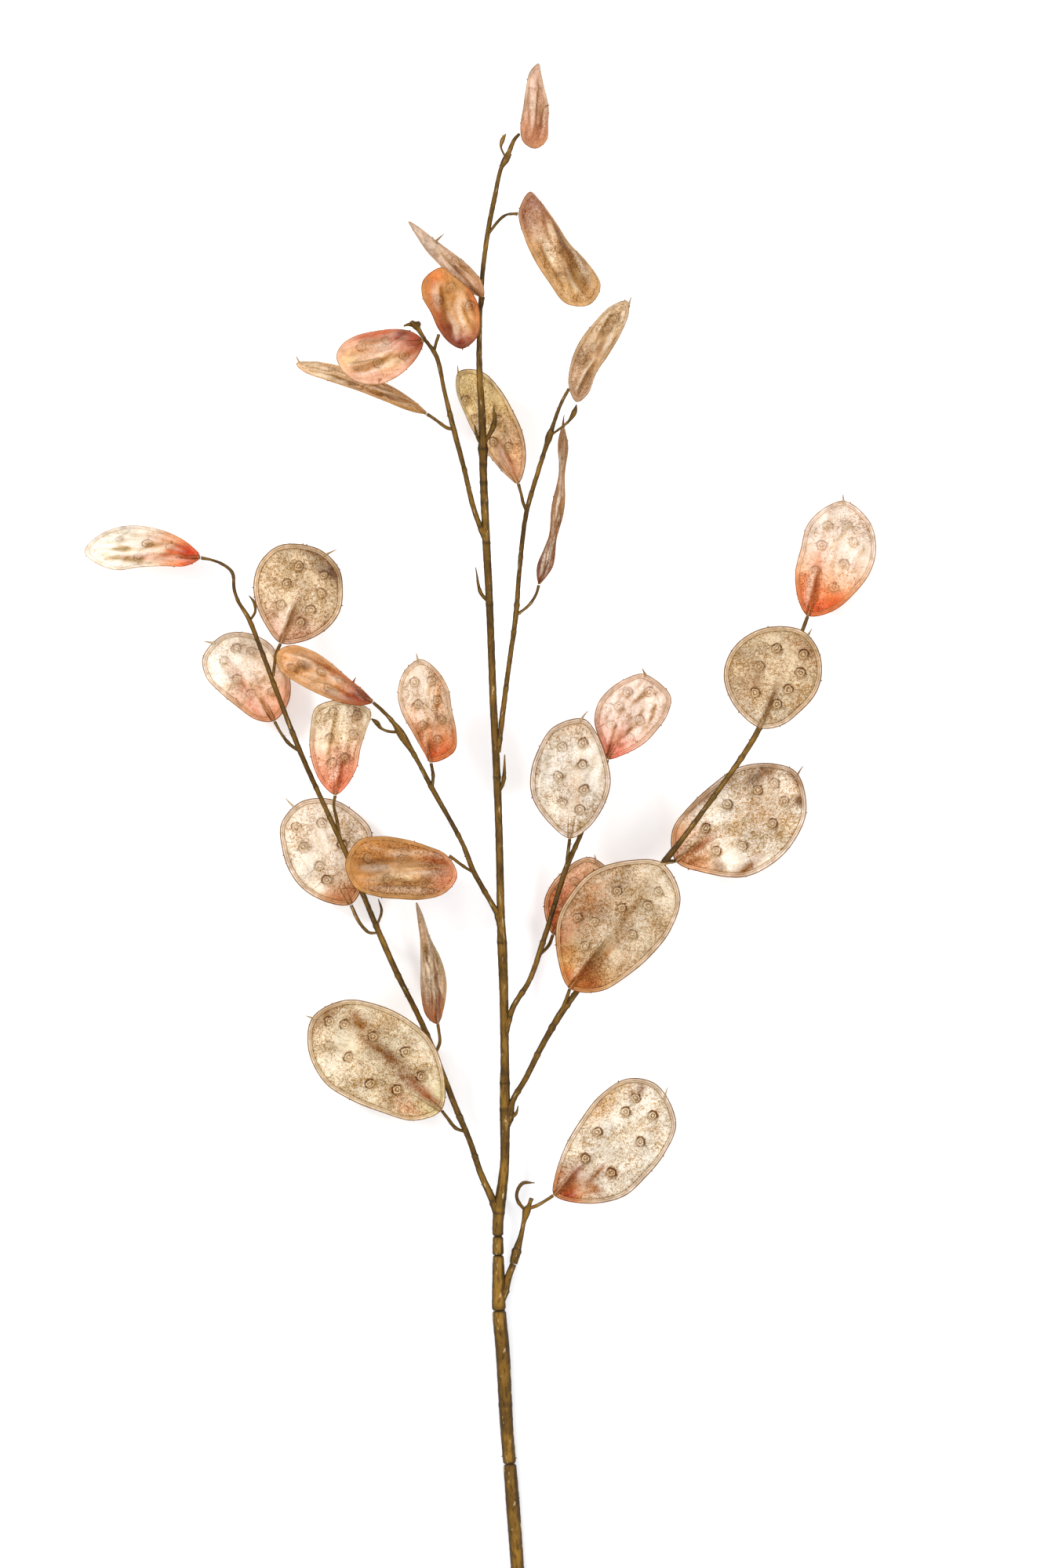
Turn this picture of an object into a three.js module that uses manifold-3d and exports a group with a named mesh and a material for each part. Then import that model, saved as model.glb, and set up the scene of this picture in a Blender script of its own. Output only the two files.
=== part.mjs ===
// A honesty seed pod stem, lying on a surface: a jointed main stem, seven side branches with their
// pedicels and buds, and twenty-seven thin seed pods with a raised rim, seed bumps and a beak.
// Millimetres. The stem runs along Y with its cut foot at -Y, and Z is up from the surface.
import * as THREE from "three";
import { mergeVertices } from "three/addons/utils/BufferGeometryUtils.js";
import Module from "manifold-3d";

const wasm = await Module();
wasm.setup();

// ---- driving dimensions ----
const SEAT_GAP = 0.3; // clearance where a pod, branch or sleeve meets what carries it
const SEAT_FACET = 0.2; // how far the corners of a twig's flat end may lean towards the pod
const TWIG_END_RADIUS = 0.7;
const MAIN_SIDES = 8;
const BRANCH_SIDES = 6;
const TWIG_SIDES = 6;
const POINT_RADIUS = 0.2; // where a bud, leaf or beak ends in a point

const FILM_HALF = 0.35; // half the thickness of a pod's film
const RIM_HALF = 0.85; // half the thickness of the bead round a pod
const RIM_CREST_IN = 1.1; // the bead's crest lies this far in from the edge
const RIM_INNER_IN = 2.5; // the bead ends this far in
const POD_SIDES = 18; // points round a pod's outline
const CORE_RING = 0.5; // a twisted pod has one more ring of vertices, this far out from its centre
const TWIST_THAT_NEEDS_CORE = 10; // degrees between base and tip
const STATIONS = [0.1, 0.3, 0.5, 0.7, 0.9]; // where a pod's half widths are given, base to tip

const BUMP_SIDES = 4;
const SEED_RADIUS = 2.0;
const SEED_HALF = 1.15; // how far a seed bump stands out of the film's middle
const BEAK_RADIUS = 0.6;
const BEAK_SIDES = 4;
const BEAK_ROOT = 2; // how deep a beak is sunk in its pod
const KEEL_HALF = 1.5; // the fold at a pod's base that holds the pedicel
const KEEL_WIDTH = 1.7;
const KEEL_SHARE = 0.11; // its reach either way from its middle, as a share of the pod's length
const KEEL_START = 0.9;

const FOOT_Y = -373.5; // the cut end
const SLEEVE_JOINTS = [-150.5, -159, -183.8, -252.5]; // where one stem sleeve plugs into the next
const SPIGOT_RADIUS = 1.5;
const SPIGOT_LENGTH = 4;
const SPIGOT_ROOT = 2; // how deep it starts in its own sleeve
const BEYOND = 400; // past every part of the spray, for cutting planes

// ---- routes: x, y, z, half width ----
const MAIN_ROUTE = [
  [13, 333, 47.5, 1.25], [11.5, 330, 47.3, 1.6], [9.5, 326.5, 47, 1.0], [6.5, 313, 46, 1.05],
  [3.3, 296.5, 44.5, 1.05], [1.1, 279, 43, 1.0], [-0.2, 256, 41.5, 1.05], [-0.3, 237.5, 40, 1.3],
  [0.8, 216.5, 38.5, 1.55], [1.2, 205, 37.6, 1.75], [1.3, 201.5, 37.3, 2.1], [1.4, 197, 37, 1.75],
  [1.4, 192.5, 36.5, 1.65], [2.8, 159.5, 34, 1.7], [4.2, 132.5, 31.5, 1.6], [5.9, 88, 27.5, 1.55],
  [7.5, 55, 25, 1.6], [8.4, 31, 23, 1.6], [9.4, -11, 19.5, 1.75], [9.8, -19, 19, 2.05],
  [10.5, -39, 17.5, 1.95], [11, -71.5, 15, 1.85], [11, -82, 14.3, 2.1], [11, -93.5, 13.5, 2.2],
  [11, -115.5, 12, 1.95], [10.5, -123, 11.5, 2.1], [8.4, -139, 10.3, 2.5], [8, -143, 10, 2.4],
  [7.9, -150.5, 9.4, 2.35], [8, -159, 8.8, 2.4], [8.2, -167, 8.2, 2.6], [8.4, -183.8, 7.1, 2.95],
  [10, -201, 6, 3.0], [11.8, -235, 4.5, 2.8], [13.2, -252.5, 3.8, 2.75], [14.4, -268, 3.3, 2.9],
  [16.6, -298, 2.9, 2.8], [19, -332, 2.8, 2.8], [21.5, FOOT_Y, 2.8, 2.8],
];
const TIP_ROUTE = [[12.2, 331.6, 47.4, 0.9], [13.4, 334.5, 47.6, 1.0], [15.3, 338.8, 48, 0.8]];

const ROUTES = {
  top_left: [
    [3.6, 157, 34.3, 1.0], [0.9, 164.2, 34.8, 1.1], [-3.1, 175.6, 36.5, 1.1], [-6.9, 191.5, 38, 1.05],
    [-12, 211, 40.5, 1.1], [-16, 227.5, 42.5, 0.85], [-19.5, 242.5, 44.5, 1.0],
    [-25, 250.5, 45.5, 0.8], [-27.6, 254.6, 46, 1.2], [-28.6, 256, 46.2, 1.7], [-29.6, 257.4, 46.4, 0.9],
  ],
  top_right: [
    [8, 66, 25.7, 1.2], [10, 82.5, 27.8, 1.15], [12.5, 102, 30, 1.05], [16, 127.5, 32.5, 1.1],
    [17.5, 146.5, 34, 1.0], [20.5, 172, 36, 1.05], [26, 191.5, 38, 0.95], [29.5, 202.5, 39.5, 1.0],
    [30.7, 206.3, 40, 1.6], [32, 210, 40.5, 1.0], [35.5, 220, 41.7, 0.75],
  ],
  mid_left: [
    [9.6, -18, 19.2, 1.3], [8, -7, 20.5, 1.35], [4.5, -0.5, 21.8, 1.1], [-3, 13, 24, 1.15],
    [-8, 25.5, 26, 1.0], [-21.5, 50, 29.5, 1.1], [-29.5, 65, 31, 1.0], [-35.5, 74.5, 32, 1.7],
    [-38.5, 79, 32.4, 1.0], [-44, 85, 33, 0.8],
  ],
  lower_left: [
    [8, -144, 10, 1.5], [6, -135.5, 10.6, 1.6], [0.5, -123, 11.2, 1.4], [-4.7, -107.8, 12, 1.25],
    [-11, -92.7, 13.2, 1.3], [-24.9, -57.7, 15.5, 1.15], [-37.4, -32.2, 18.5, 1.25], [-46.9, -10.5, 21, 1.2],
    [-59.4, 19.8, 23.3, 1.05], [-69.1, 41.2, 24, 1.0], [-78.9, 62.8, 24, 1.1], [-90.4, 92, 23.5, 1.0],
    [-97.1, 110, 22.5, 0.95], [-103.5, 126, 21, 1.0], [-108, 133.4, 19.6, 0.75], [-109.9, 139, 18.6, 0.75],
    [-110.4, 145.5, 17.8, 0.75], [-112.5, 148.3, 17.3, 0.7], [-116, 150.5, 16.8, 0.6],
    [-120.6, 152.1, 16.2, 0.6],
  ],
  right_inner: [
    [11, -62, 15.8, 1.2], [14.5, -48.5, 17.5, 1.25], [22, -36, 19.3, 1.1], [28, -19, 21, 1.15],
    [31.5, -8, 22, 1.05], [38.5, 14.5, 24, 1.15], [45, 29.5, 25, 0.95], [53.5, 52, 26, 0.9],
  ],
  right_outer: [
    [10.8, -104, 12.8, 1.4], [13, -97, 13.5, 1.9], [14.3, -90.5, 14.2, 1.35], [20.5, -79.5, 15.3, 1.25],
    [27.5, -65.5, 16.6, 1.3], [36.5, -50, 18.4, 1.5], [43.5, -40.5, 19.5, 1.2], [64, -10, 22, 1.2],
    [82.2, 16.9, 24, 1.5], [89.9, 26.7, 24.5, 1.15], [107.9, 51.2, 25.5, 1.1], [118, 65.5, 26, 1.15],
    [124.5, 76.5, 26, 1.2], [134, 98, 23.5, 0.95], [144, 120.5, 18.8, 0.85],
  ],
  spur: [
    [14.9, -162.6, 8.2, 1.75], [15.9, -158.5, 8.6, 1.95], [18.3, -150, 9.6, 1.1], [19.6, -144, 10.4, 1.0],
    [21, -138.5, 11, 1.7], [21.7, -137, 11.2, 0.95], [23, -133.5, 12, 0.95],
  ],
};
const FORK_ARM_ROUTE = [[8.6, -182, 7.3, 1.5], [10.8, -176, 7.4, 1.65], [12.8, -168, 7.8, 1.5],
  [14.8, -163.05, 8.2, 1.4]];

// Buds, bracts and small leaves, each fused to the stem that its first key names.
const BUDS = {
  main_stem: [
    [[11.5, 330.5, 47.3, 0.5], [9.4, 335.5, 48, 0.5], [10, 338.5, 48.4, 1.0],
      [11.5, 341.5, 48.6, POINT_RADIUS]],
    [[1.6, 203, 37.6, 0.6], [6.3, 212.5, 39.2, 1.1], [6, 220.5, 40, POINT_RADIUS]],
    [[1.2, 202, 37.4, 0.6], [-1.2, 206.5, 38, 0.7], [-2.5, 212, 38.4, POINT_RADIUS]],
    [[5, 132, 31.3, 0.6], [0.4, 137, 32, 0.8], [-2, 148.5, 32.6, POINT_RADIUS]],
    [[8.3, 48, 24.4, 0.6], [10.4, 53, 25.2, 0.9], [11, 65, 26.4, POINT_RADIUS]],
  ],
  top_left: [[[-28.4, 255.8, 46, 1.1], [-31.5, 256.6, 46.4, 0.8], [-34, 255.8, 46.6, 0.3]]],
  top_right: [[[31, 207, 40, 0.5], [36, 210.5, 43.4, 0.5], [39.5, 213.5, 44.6, 0.6],
    [42, 217.5, 45, 1.2], [43, 221, 45, POINT_RADIUS]]],
  mid_left: [[[-36, 75, 32, 0.6], [-41, 75.3, 33, 0.6], [-44.3, 76.8, 33.6, 0.6],
    [-46, 79, 33.8, 1.1], [-48.5, 81, 34, POINT_RADIUS]]],
  lower_left: [
    [[-102.6, 125, 21, 0.5], [-100.4, 129, 21.4, 0.6], [-101, 133, 21.6, 0.6],
      [-103.2, 136, 21.6, POINT_RADIUS]],
    [[-46.4, -12, 20.8, 0.5], [-44, -5, 20.6, 0.6], [-45.5, 0.5, 20.4, POINT_RADIUS]],
  ],
  right_outer: [[[12.6, -98, 13.6, 0.9], [16, -95.5, 14.6, 0.7], [17, -92, 15, POINT_RADIUS]]],
  spur: [[[20.6, -139.5, 10.8, 0.6], [17, -135, 10.8, 0.7], [16.4, -131, 10.8, 0.75],
    [19, -126.8, 10.9, 0.8], [24.4, -126.6, 11, POINT_RADIUS]]],
};

// Each pod: the stem that carries it, the side twig that reaches for it (none where the stem's own end
// does), base and tip, half widths to the left and right of the way from base to tip, and its
// roll about that way at base and tip in degrees (positive lifts the left side). arch lifts its
// middle, cup curls its sides up and drift bends its middle to the left. sway rolls it to and fro, by
// so many degrees, over a period that is a share of its length. seat is where the stem
// meets it if that isn't its base, and seeds are where its bumps are, both as [share of the length,
// mm to the left]. beak has these two, the way it points in degrees to the left, and its length.
const PODS = {
  pod_crown_1: {
    on: "main_stem", base: [24.7, 335, 39.5], tip: [26.3, 373, 42], seat: [0.18, 12.8],
    left: [10, 13, 11.5, 9.5, 6.5], right: [7.3, 7.5, 7.2, 4.5, 1.5], roll: [50, 50], arch: 1, cup: 2,
    seeds: [[0.3, -1], [0.52, 4], [0.7, 1]], beak: [0.5, -5.5, -60, 2],
  },
  pod_crown_2: {
    on: "main_stem", twig: [[3.4, 296.5, 44.5, 0.6], [9, 303.5, 45.4, 0.65], [12, 305.5, 45.8, 0.55]],
    base: [22.4, 316, 39], tip: [49, 265.6, 37], seat: [0.11, -11.6],
    left: [2.5, 5, 6.5, 11, 11.5], right: [11.5, 14.5, 15, 14, 12], roll: [-40, -40], arch: 1.5, cup: -2,
    seeds: [[0.2, -6], [0.36, -8], [0.5, -2], [0.66, -7], [0.8, 3]], beak: null,
  },
  pod_crown_3: {
    on: "main_stem", twig: [[0.2, 262, 41.9, 0.6], [1, 265.5, 44.6, 0.6]],
    base: [1.5, 269, 46.8], tip: [-32, 302.5, 47],
    left: [4, 6, 7, 7.5, 4.2], right: [6, 9, 8.6, 6.5, 4.4], roll: [-45, -74], arch: -1, cup: 0.5,
    seeds: [[0.3, 2], [0.48, -4], [0.62, 3]], beak: [0.68, -6.8, -85, 4.5],
  },
  pod_top_left_1: {
    on: "top_left", twig: [[-25.5, 251, 45.5, 0.7], [-24.6, 250, 46.6, 0.7]],
    base: [-25.3, 249, 47.8], tip: [-64, 241.5, 50],
    left: [7.5, 13.5, 16, 16, 12], right: [6.5, 10.5, 11.5, 11, 7], roll: [34, 34], arch: 2, cup: -3,
    seeds: [[0.25, 6], [0.4, -4], [0.55, 7], [0.7, -3], [0.8, 6]], beak: [0.58, 15, 65, 2.9],
  },
  pod_top_left_2: {
    on: "top_left", twig: [[-20.3, 245.5, 44.7, 0.7], [-19.2, 249.5, 46.8, 0.7]],
    base: [-7.7, 245.7, 47], tip: [-17.2, 281.8, 55], seat: [0.24, 8.6],
    left: [5, 8.6, 10, 12, 9.5], right: [7.8, 10.8, 11.4, 9, 3.5], roll: [-6, -10], arch: 1, cup: -2.5,
    seeds: [[0.64, 5], [0.48, -8], [0.25, -1], [0.75, -2]], beak: null,
  },
  pod_top_left_3: {
    on: "top_left", twig: [[-12, 209.7, 40.4, 0.6], [-15, 210.7, 41, 0.75], [-19, 213.6, 42, 0.6]],
    base: [-24, 217, 43], tip: [-82, 239.5, 36.5],
    left: [5, 6.5, 7.5, 9, 8], right: [6, 11, 11.5, 12, 8.5], roll: [66, 68], arch: 1, cup: 1, drift: -0.9,
    seeds: [[0.3, 3], [0.45, -6], [0.6, 3], [0.75, -5]], beak: [0.98, -1.5, -35, 3.6],
  },
  pod_top_right_1: {
    on: "top_right", base: [43.1, 221.9, 48.6], tip: [65.5, 267, 47], seat: [0.09, 8.2],
    left: [9, 13, 13.5, 11.5, 7.5], right: [4, 3, 5, 6, 4.5], roll: [-46, -44], arch: 1, cup: 2,
    seeds: [[0.7, 2], [0.5, 5], [0.36, 8], [0.82, 1]], beak: [0.97, -2, 15, 3.9],
  },
  pod_top_right_2: {
    on: "top_right", twig: [[20.6, 173.5, 36, 0.6], [19, 178, 34.3, 0.75], [18.4, 181, 33, 0.6]],
    base: [17, 186, 31], tip: [-9.5, 236, 24],
    left: [3.5, 6.5, 8, 7.5, 5.5], right: [8.5, 15.5, 17, 16, 11], roll: [-34, -34], arch: 0, cup: 2,
    seeds: [[0.78, 4], [0.61, 4], [0.51, -7], [0.38, 1], [0.28, -5]], beak: [0.98, 1, -15, 4.3],
  },
  pod_top_right_3: {
    on: "top_right", twig: [[16, 127, 32.4, 0.6], [22, 131.8, 33, 0.65], [25, 136.5, 33.6, 0.65]],
    base: [26.3, 141, 34], tip: [37, 212, 34],
    left: [7.5, 8, 7, 6.5, 5.5], right: [7.5, 8, 7, 6.5, 5.5], roll: [70, 74], sway: [-6, 0.4],
    arch: 0, cup: 1, drift: -2.6, seeds: [[0.25, 3], [0.4, -3], [0.78, 3]], beak: [1, 0, 10, 4.5],
  },
  pod_mid_left_1: {
    on: "mid_left", base: [-48, 88.5, 33.8], tip: [-90.5, 110.5, 37],
    left: [6.5, 12, 14.5, 14, 11], right: [3.5, 6.5, 9.5, 11, 9], roll: [48, 50], arch: 1, cup: 2,
    seeds: [[0.75, 1], [0.55, -1], [0.36, -1], [0.44, 7], [0.82, 6]], beak: [0.24, -5.5, -85, 2.5],
  },
  pod_mid_left_2: {
    on: "mid_left", twig: [[-21.2, 50.5, 29.6, 0.6], [-21, 56, 30.6, 0.75]],
    base: [-22, 61.5, 31.4], tip: [-26.5, 107.5, 36],
    left: [3, 7.5, 11.5, 12.5, 8.5], right: [13, 15.5, 14.5, 13.5, 7.5], roll: [-28, -28], arch: 1, cup: 2.5,
    seeds: [[0.78, 4], [0.79, -5], [0.57, 3], [0.6, -7], [0.36, 2], [0.41, -8], [0.22, -5]],
    beak: [1, 1.5, 15, 3],
  },
  pod_mid_left_3: {
    on: "mid_left", twig: [[-2, 11.5, 23.8, 0.6], [-8, 15.5, 24.6, 0.65]],
    base: [-10.2, 10.8, 27.6], tip: [-60.2, 16, 34.8], seat: [0.09, -9.2],
    left: [8.5, 12.3, 13, 13, 10], right: [9, 13, 15, 15, 11.5], roll: [16, 14], arch: 1, cup: -2,
    seeds: [[0.3, 5], [0.5, -5], [0.62, 5], [0.8, -4]], beak: null,
  },
  pod_lower_left_1: {
    on: "lower_left", base: [-125.2, 153, 15.9], tip: [-177, 156, 9.2],
    left: [5.5, 6.5, 8, 10.5, 6.5], right: [7.5, 15, 18.5, 18, 11], roll: [44, 44], arch: 0, cup: -1,
    rests: true, seeds: [[0.71, -8], [0.47, -6], [0.27, -5], [0.52, 3]], beak: null,
  },
  pod_lower_left_2: {
    on: "lower_left", twig: [[-92.4, 100, 23, 0.6], [-91, 110, 24.6, 0.7]],
    base: [-89, 114.7, 25.8], tip: [-72.5, 157, 31],
    left: [8.5, 17.5, 21.5, 21.5, 16], right: [9.5, 17, 19.5, 17.5, 12], roll: [4, 0], arch: 1, cup: 2,
    seeds: [[0.77, 5], [0.78, -7], [0.57, 7], [0.6, -9], [0.35, 6], [0.41, -7], [0.26, -5]],
    beak: [0.97, -4.5, -35, 5.3],
  },
  pod_lower_left_3: {
    on: "lower_left", twig: [[-81, 66.5, 23.8, 0.6], [-85.5, 70, 21.4, 0.75], [-88.6, 74, 19, 0.6]],
    base: [-92, 80, 17], tip: [-115, 118.5, 12.5],
    left: [7, 11.5, 15, 17, 13.5], right: [10.5, 16, 16.5, 16, 10], roll: [14, 14], arch: 0, cup: 2,
    seeds: [[0.76, 6], [0.81, -2], [0.71, -7], [0.54, 5], [0.35, 3], [0.26, -6]], beak: [0.98, 6, 55, 3.9],
  },
  pod_lower_left_4: {
    on: "lower_left", twig: [[-62.6, 28.5, 23.6, 0.6], [-64.2, 37, 25, 0.7], [-65.3, 42.5, 25.6, 0.6]],
    base: [-64.6, 47, 26.2], tip: [-61.5, 89.5, 28],
    left: [6.5, 12, 14.5, 14.5, 12.5], right: [5, 9, 10, 12, 13.5], roll: [18, 20], arch: 0, cup: 2,
    seeds: [[0.86, 4], [0.84, -7], [0.59, 5], [0.64, -6], [0.39, -3], [0.33, 3]], beak: null,
  },
  pod_lower_left_5: {
    on: "lower_left", twig: [[-45, -14.5, 20.4, 0.6], [-49.5, -14.6, 19, 0.65], [-54, -10, 17, 0.75]],
    base: [-57.8, -2, 15], tip: [-80, 44, 11.5],
    left: [9, 16.5, 18.5, 17, 12.5], right: [8.5, 16.5, 22.5, 20, 13], roll: [6, 6], arch: 0, cup: 1.5,
    seeds: [[0.75, -4], [0.81, 7], [0.63, 8], [0.42, 5], [0.28, 5], [0.5, -8]], beak: [0.98, 4, 25, 5.7],
  },
  pod_lower_left_6: {
    on: "lower_left", twig: [[-19.8, -68.4, 14.8, 0.6], [-18, -63.5, 16.6, 0.7], [-18.4, -59, 18.4, 0.6]],
    base: [-19, -55.3, 20], tip: [-28.5, -1, 21],
    left: [10, 12, 8, 3.5, 2], right: [7.5, 14.5, 14.5, 9, 5.5], roll: [60, 75], arch: 0, cup: 1,
    seeds: [[0.25, -3], [0.4, -5], [0.55, -3]], beak: null,
  },
  pod_lower_left_7: {
    on: "lower_left", twig: [[-6, -104, 12.2, 0.6], [-11, -102, 13.4, 0.75], [-14.6, -97.6, 14.8, 0.7]],
    base: [-17.3, -94, 16.2], tip: [-75, -52.5, 18],
    left: [11, 16.5, 20, 20.5, 13], right: [12.5, 23, 25, 22.5, 15], roll: [-8, -8], arch: 2, cup: 2,
    seeds: [[0.9, -3], [0.81, -6], [0.81, 6], [0.67, 5], [0.62, -9], [0.4, -12], [0.23, -7],
      [0.46, 9], [0.3, 4]],
    beak: [0.99, 0, 25, 3.6],
  },
  pod_right_inner_1: {
    on: "right_inner", base: [57, 63, 26.5], tip: [73.5, 101, 24],
    left: [4.5, 12.5, 14.5, 12, 6], right: [5.5, 12, 15, 16.5, 14.5], roll: [10, 10], arch: 1, cup: 2.5,
    seeds: [[0.74, 4], [0.84, -5], [0.56, 5], [0.52, -6], [0.34, 5], [0.3, -5]], beak: [1, 0, 55, 2.8],
  },
  pod_right_inner_2: {
    on: "right_inner", twig: [[38.6, 15, 24.2, 0.6], [39.2, 21, 26.6, 0.75]],
    base: [40, 27.5, 28.8], tip: [46, 81, 35.5],
    left: [9.5, 18.5, 20.5, 18.5, 13], right: [7.5, 13.5, 15.5, 12.5, 6.5], roll: [-4, -4], arch: 1, cup: 2,
    seeds: [[0.75, 8], [0.8, -1], [0.62, -2], [0.5, 8], [0.42, -4], [0.29, 5], [0.25, -3]],
    beak: [0.99, 1, -25, 4.9],
  },
  pod_right_inner_3: {
    on: "right_inner", twig: [[26, -25, 20.3, 0.6], [30.6, -20.4, 18.4, 0.7]],
    base: [32.6, -15.4, 16.4], tip: [50, 19, 13],
    left: [5.5, 10.5, 11, 9, 5], right: [9, 14.5, 16, 16.5, 14.5], roll: [8, 8], arch: 0, cup: 1.5,
    seeds: [[0.35, 4], [0.45, -6], [0.65, 2], [0.7, -9]], beak: [0.99, -2, 45, 2.5],
  },
  pod_right_outer_1: {
    on: "right_outer", base: [146.4, 127, 16.4], tip: [163.5, 178.5, 0.4],
    left: [6.5, 11.5, 12.5, 13, 7.5], right: [10, 17, 20.5, 19.5, 13], roll: [4, 0], arch: 1.5, cup: 2,
    rests: true,
    seeds: [[0.75, 4], [0.81, -4], [0.58, 4], [0.68, -9], [0.49, -8], [0.37, 3], [0.28, -7]],
    beak: [0.98, 0.5, 30, 3.9],
  },
  pod_right_outer_2: {
    on: "right_outer", perched: true, base: [124.6, 76.8, 28.6], tip: [143.5, 120.5, 31],
    left: [14.5, 23.5, 25.5, 23, 14.5], right: [8.5, 14, 17, 16, 10], roll: [0, 0], arch: 1, cup: 1.5,
    seeds: [[0.75, 7], [0.8, -5], [0.53, 11], [0.63, -7], [0.44, -5], [0.29, 8], [0.27, -3]],
    beak: [0.98, -3.5, 0, 3.4],
  },
  pod_right_outer_3: {
    on: "right_outer", twig: [[82.5, 17.5, 23.8, 0.8], [85.4, 17.4, 22.2, 0.75]],
    base: [87.4, 17.2, 20.8], tip: [141.5, 57, 15],
    left: [12, 16.5, 18, 17.5, 10], right: [11, 23.5, 26.5, 24.5, 16.5], roll: [2, 2], arch: -1, cup: 1,
    seeds: [[0.72, 4], [0.84, 2], [0.82, -7], [0.5, 7], [0.67, -12], [0.29, 4], [0.42, -12], [0.26, -7]],
    beak: [0.98, -1.5, 30, 5.8],
  },
  pod_right_outer_4: {
    on: "right_outer", twig: [[36, -50.5, 18.4, 0.9], [38.6, -44, 21.4, 0.8]],
    base: [40, -39.6, 24], tip: [81.5, 16.5, 32],
    left: [11.5, 22.5, 25, 23, 12], right: [11.5, 17.5, 20.5, 20.5, 15], roll: [0, 0], arch: 2, cup: 2,
    seeds: [[0.69, 9], [0.62, 3], [0.84, -6], [0.73, -6], [0.52, -8], [0.44, 9], [0.4, 16], [0.28, 6]],
    beak: [0.99, 0, -40, 5.1],
  },
  pod_spur_1: {
    on: "spur", twig: [[21.2, -138.4, 11, 0.7], [26, -136.4, 11.8, 0.75], [30, -134, 12.5, 0.65]],
    base: [33, -132, 13], tip: [79, -82.5, 20],
    left: [5.5, 11.5, 14.5, 15.5, 11.5], right: [13, 23, 24.5, 23.5, 18], roll: [4, 4], arch: 1, cup: 2,
    seeds: [[0.84, 3], [0.73, 2], [0.83, -8], [0.5, 5], [0.65, -12], [0.32, 1], [0.37, -12]],
    beak: [0.97, -6.5, 35, 4.9],
  },
};

// ---- solids ----
function solidFromGeometry(geometry) {
  geometry.deleteAttribute("normal");
  geometry.deleteAttribute("uv");
  const merged = mergeVertices(geometry, 1e-5);
  const mesh = new wasm.Mesh({
    numProp: 3,
    vertProperties: new Float32Array(merged.attributes.position.array),
    triVerts: new Uint32Array(merged.index.array),
  });
  return new wasm.Manifold(mesh);
}

function solidFromTriangles(points, triangles) {
  const geometry = new THREE.BufferGeometry().setFromPoints(points);
  geometry.setIndex(triangles);
  return solidFromGeometry(geometry);
}

function boxBetween(low, high) {
  const size = high.clone().sub(low);
  const box = new THREE.BoxGeometry(size.x, size.y, size.z);
  box.translate((low.x + high.x) / 2, (low.y + high.y) / 2, (low.z + high.z) / 2);
  return solidFromGeometry(box);
}

// A stem along a smooth route, with flat ends. Its half width is measured across two opposite flat
// sides. With eight sides, one of these faces straight down.
function stem(route, sides, extra = 0) {
  const centres = new THREE.CatmullRomCurve3(
    route.map(([x, y, z]) => new THREE.Vector3(x, y, z)), false, "centripetal");
  const rings = route.length - 1;
  const up = new THREE.Vector3(0, 0, 1);
  const points = [];
  const triangles = [];
  for (let i = 0; i <= rings; i++) {
    const centre = centres.getPoint(i / rings);
    const tangent = centres.getTangent(i / rings);
    const side = up.clone().cross(tangent).normalize();
    const lift = tangent.clone().cross(side);
    const radius = (route[i][3] + extra) / Math.cos(Math.PI / sides);
    for (let j = 0; j < sides; j++) {
      const angle = ((j + 0.5) / sides) * 2 * Math.PI;
      points.push(centre.clone().addScaledVector(side, radius * Math.cos(angle))
        .addScaledVector(lift, radius * Math.sin(angle)));
    }
  }
  for (let i = 0; i < rings; i++) {
    for (let j = 0; j < sides; j++) {
      const a = i * sides + j;
      const b = i * sides + ((j + 1) % sides);
      triangles.push(a, b, a + sides, b, b + sides, a + sides);
    }
  }
  const end = rings * sides;
  for (let j = 1; j < sides - 1; j++) {
    triangles.push(0, j + 1, j, end, end + j, end + j + 1);
  }
  return solidFromTriangles(points, triangles);
}

// The route of a stem or twig carried on to where it meets a pod, short of it by the seat gap.
function routeToSeat(route, seat) {
  const from = new THREE.Vector3(...route[route.length - 1]);
  const to = new THREE.Vector3(...seat);
  const direction = to.clone().sub(from).normalize();
  to.addScaledVector(direction, -SEAT_GAP - SEAT_FACET);
  return [...route, [to.x, to.y, to.z, TWIG_END_RADIUS]];
}

// The bent surface of a pod: its axes at the base, and a point at u along and v to the left.
function podSurface(pod) {
  const base = new THREE.Vector3(...pod.base);
  const axis = new THREE.Vector3(...pod.tip).sub(base);
  const length = axis.length();
  const along = axis.clone().normalize();
  const left = new THREE.Vector3(0, 0, 1).cross(along).normalize();
  const up = along.clone().cross(left);
  const widest = Math.max(...pod.left, ...pod.right);
  const at = (u, v) => {
    const share = THREE.MathUtils.clamp(u / length, 0, 1);
    const [sway, period] = pod.sway ?? [0, 1];
    const roll = THREE.MathUtils.degToRad(THREE.MathUtils.lerp(pod.roll[0], pod.roll[1], share)
      + sway * Math.sin(2 * Math.PI * share / period));
    const across = left.clone().multiplyScalar(Math.cos(roll)).addScaledVector(up, Math.sin(roll));
    const normal = along.clone().cross(across);
    const hump = 4 * share * (1 - share);
    const point = base.clone().addScaledVector(along, u).addScaledVector(across, v)
      .addScaledVector(up, pod.arch * hump).addScaledVector(left, (pod.drift ?? 0) * hump)
      .addScaledVector(normal, pod.cup * hump * (v / widest) ** 2);
    return { point, across, normal };
  };
  return { at, along, left, length };
}

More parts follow.
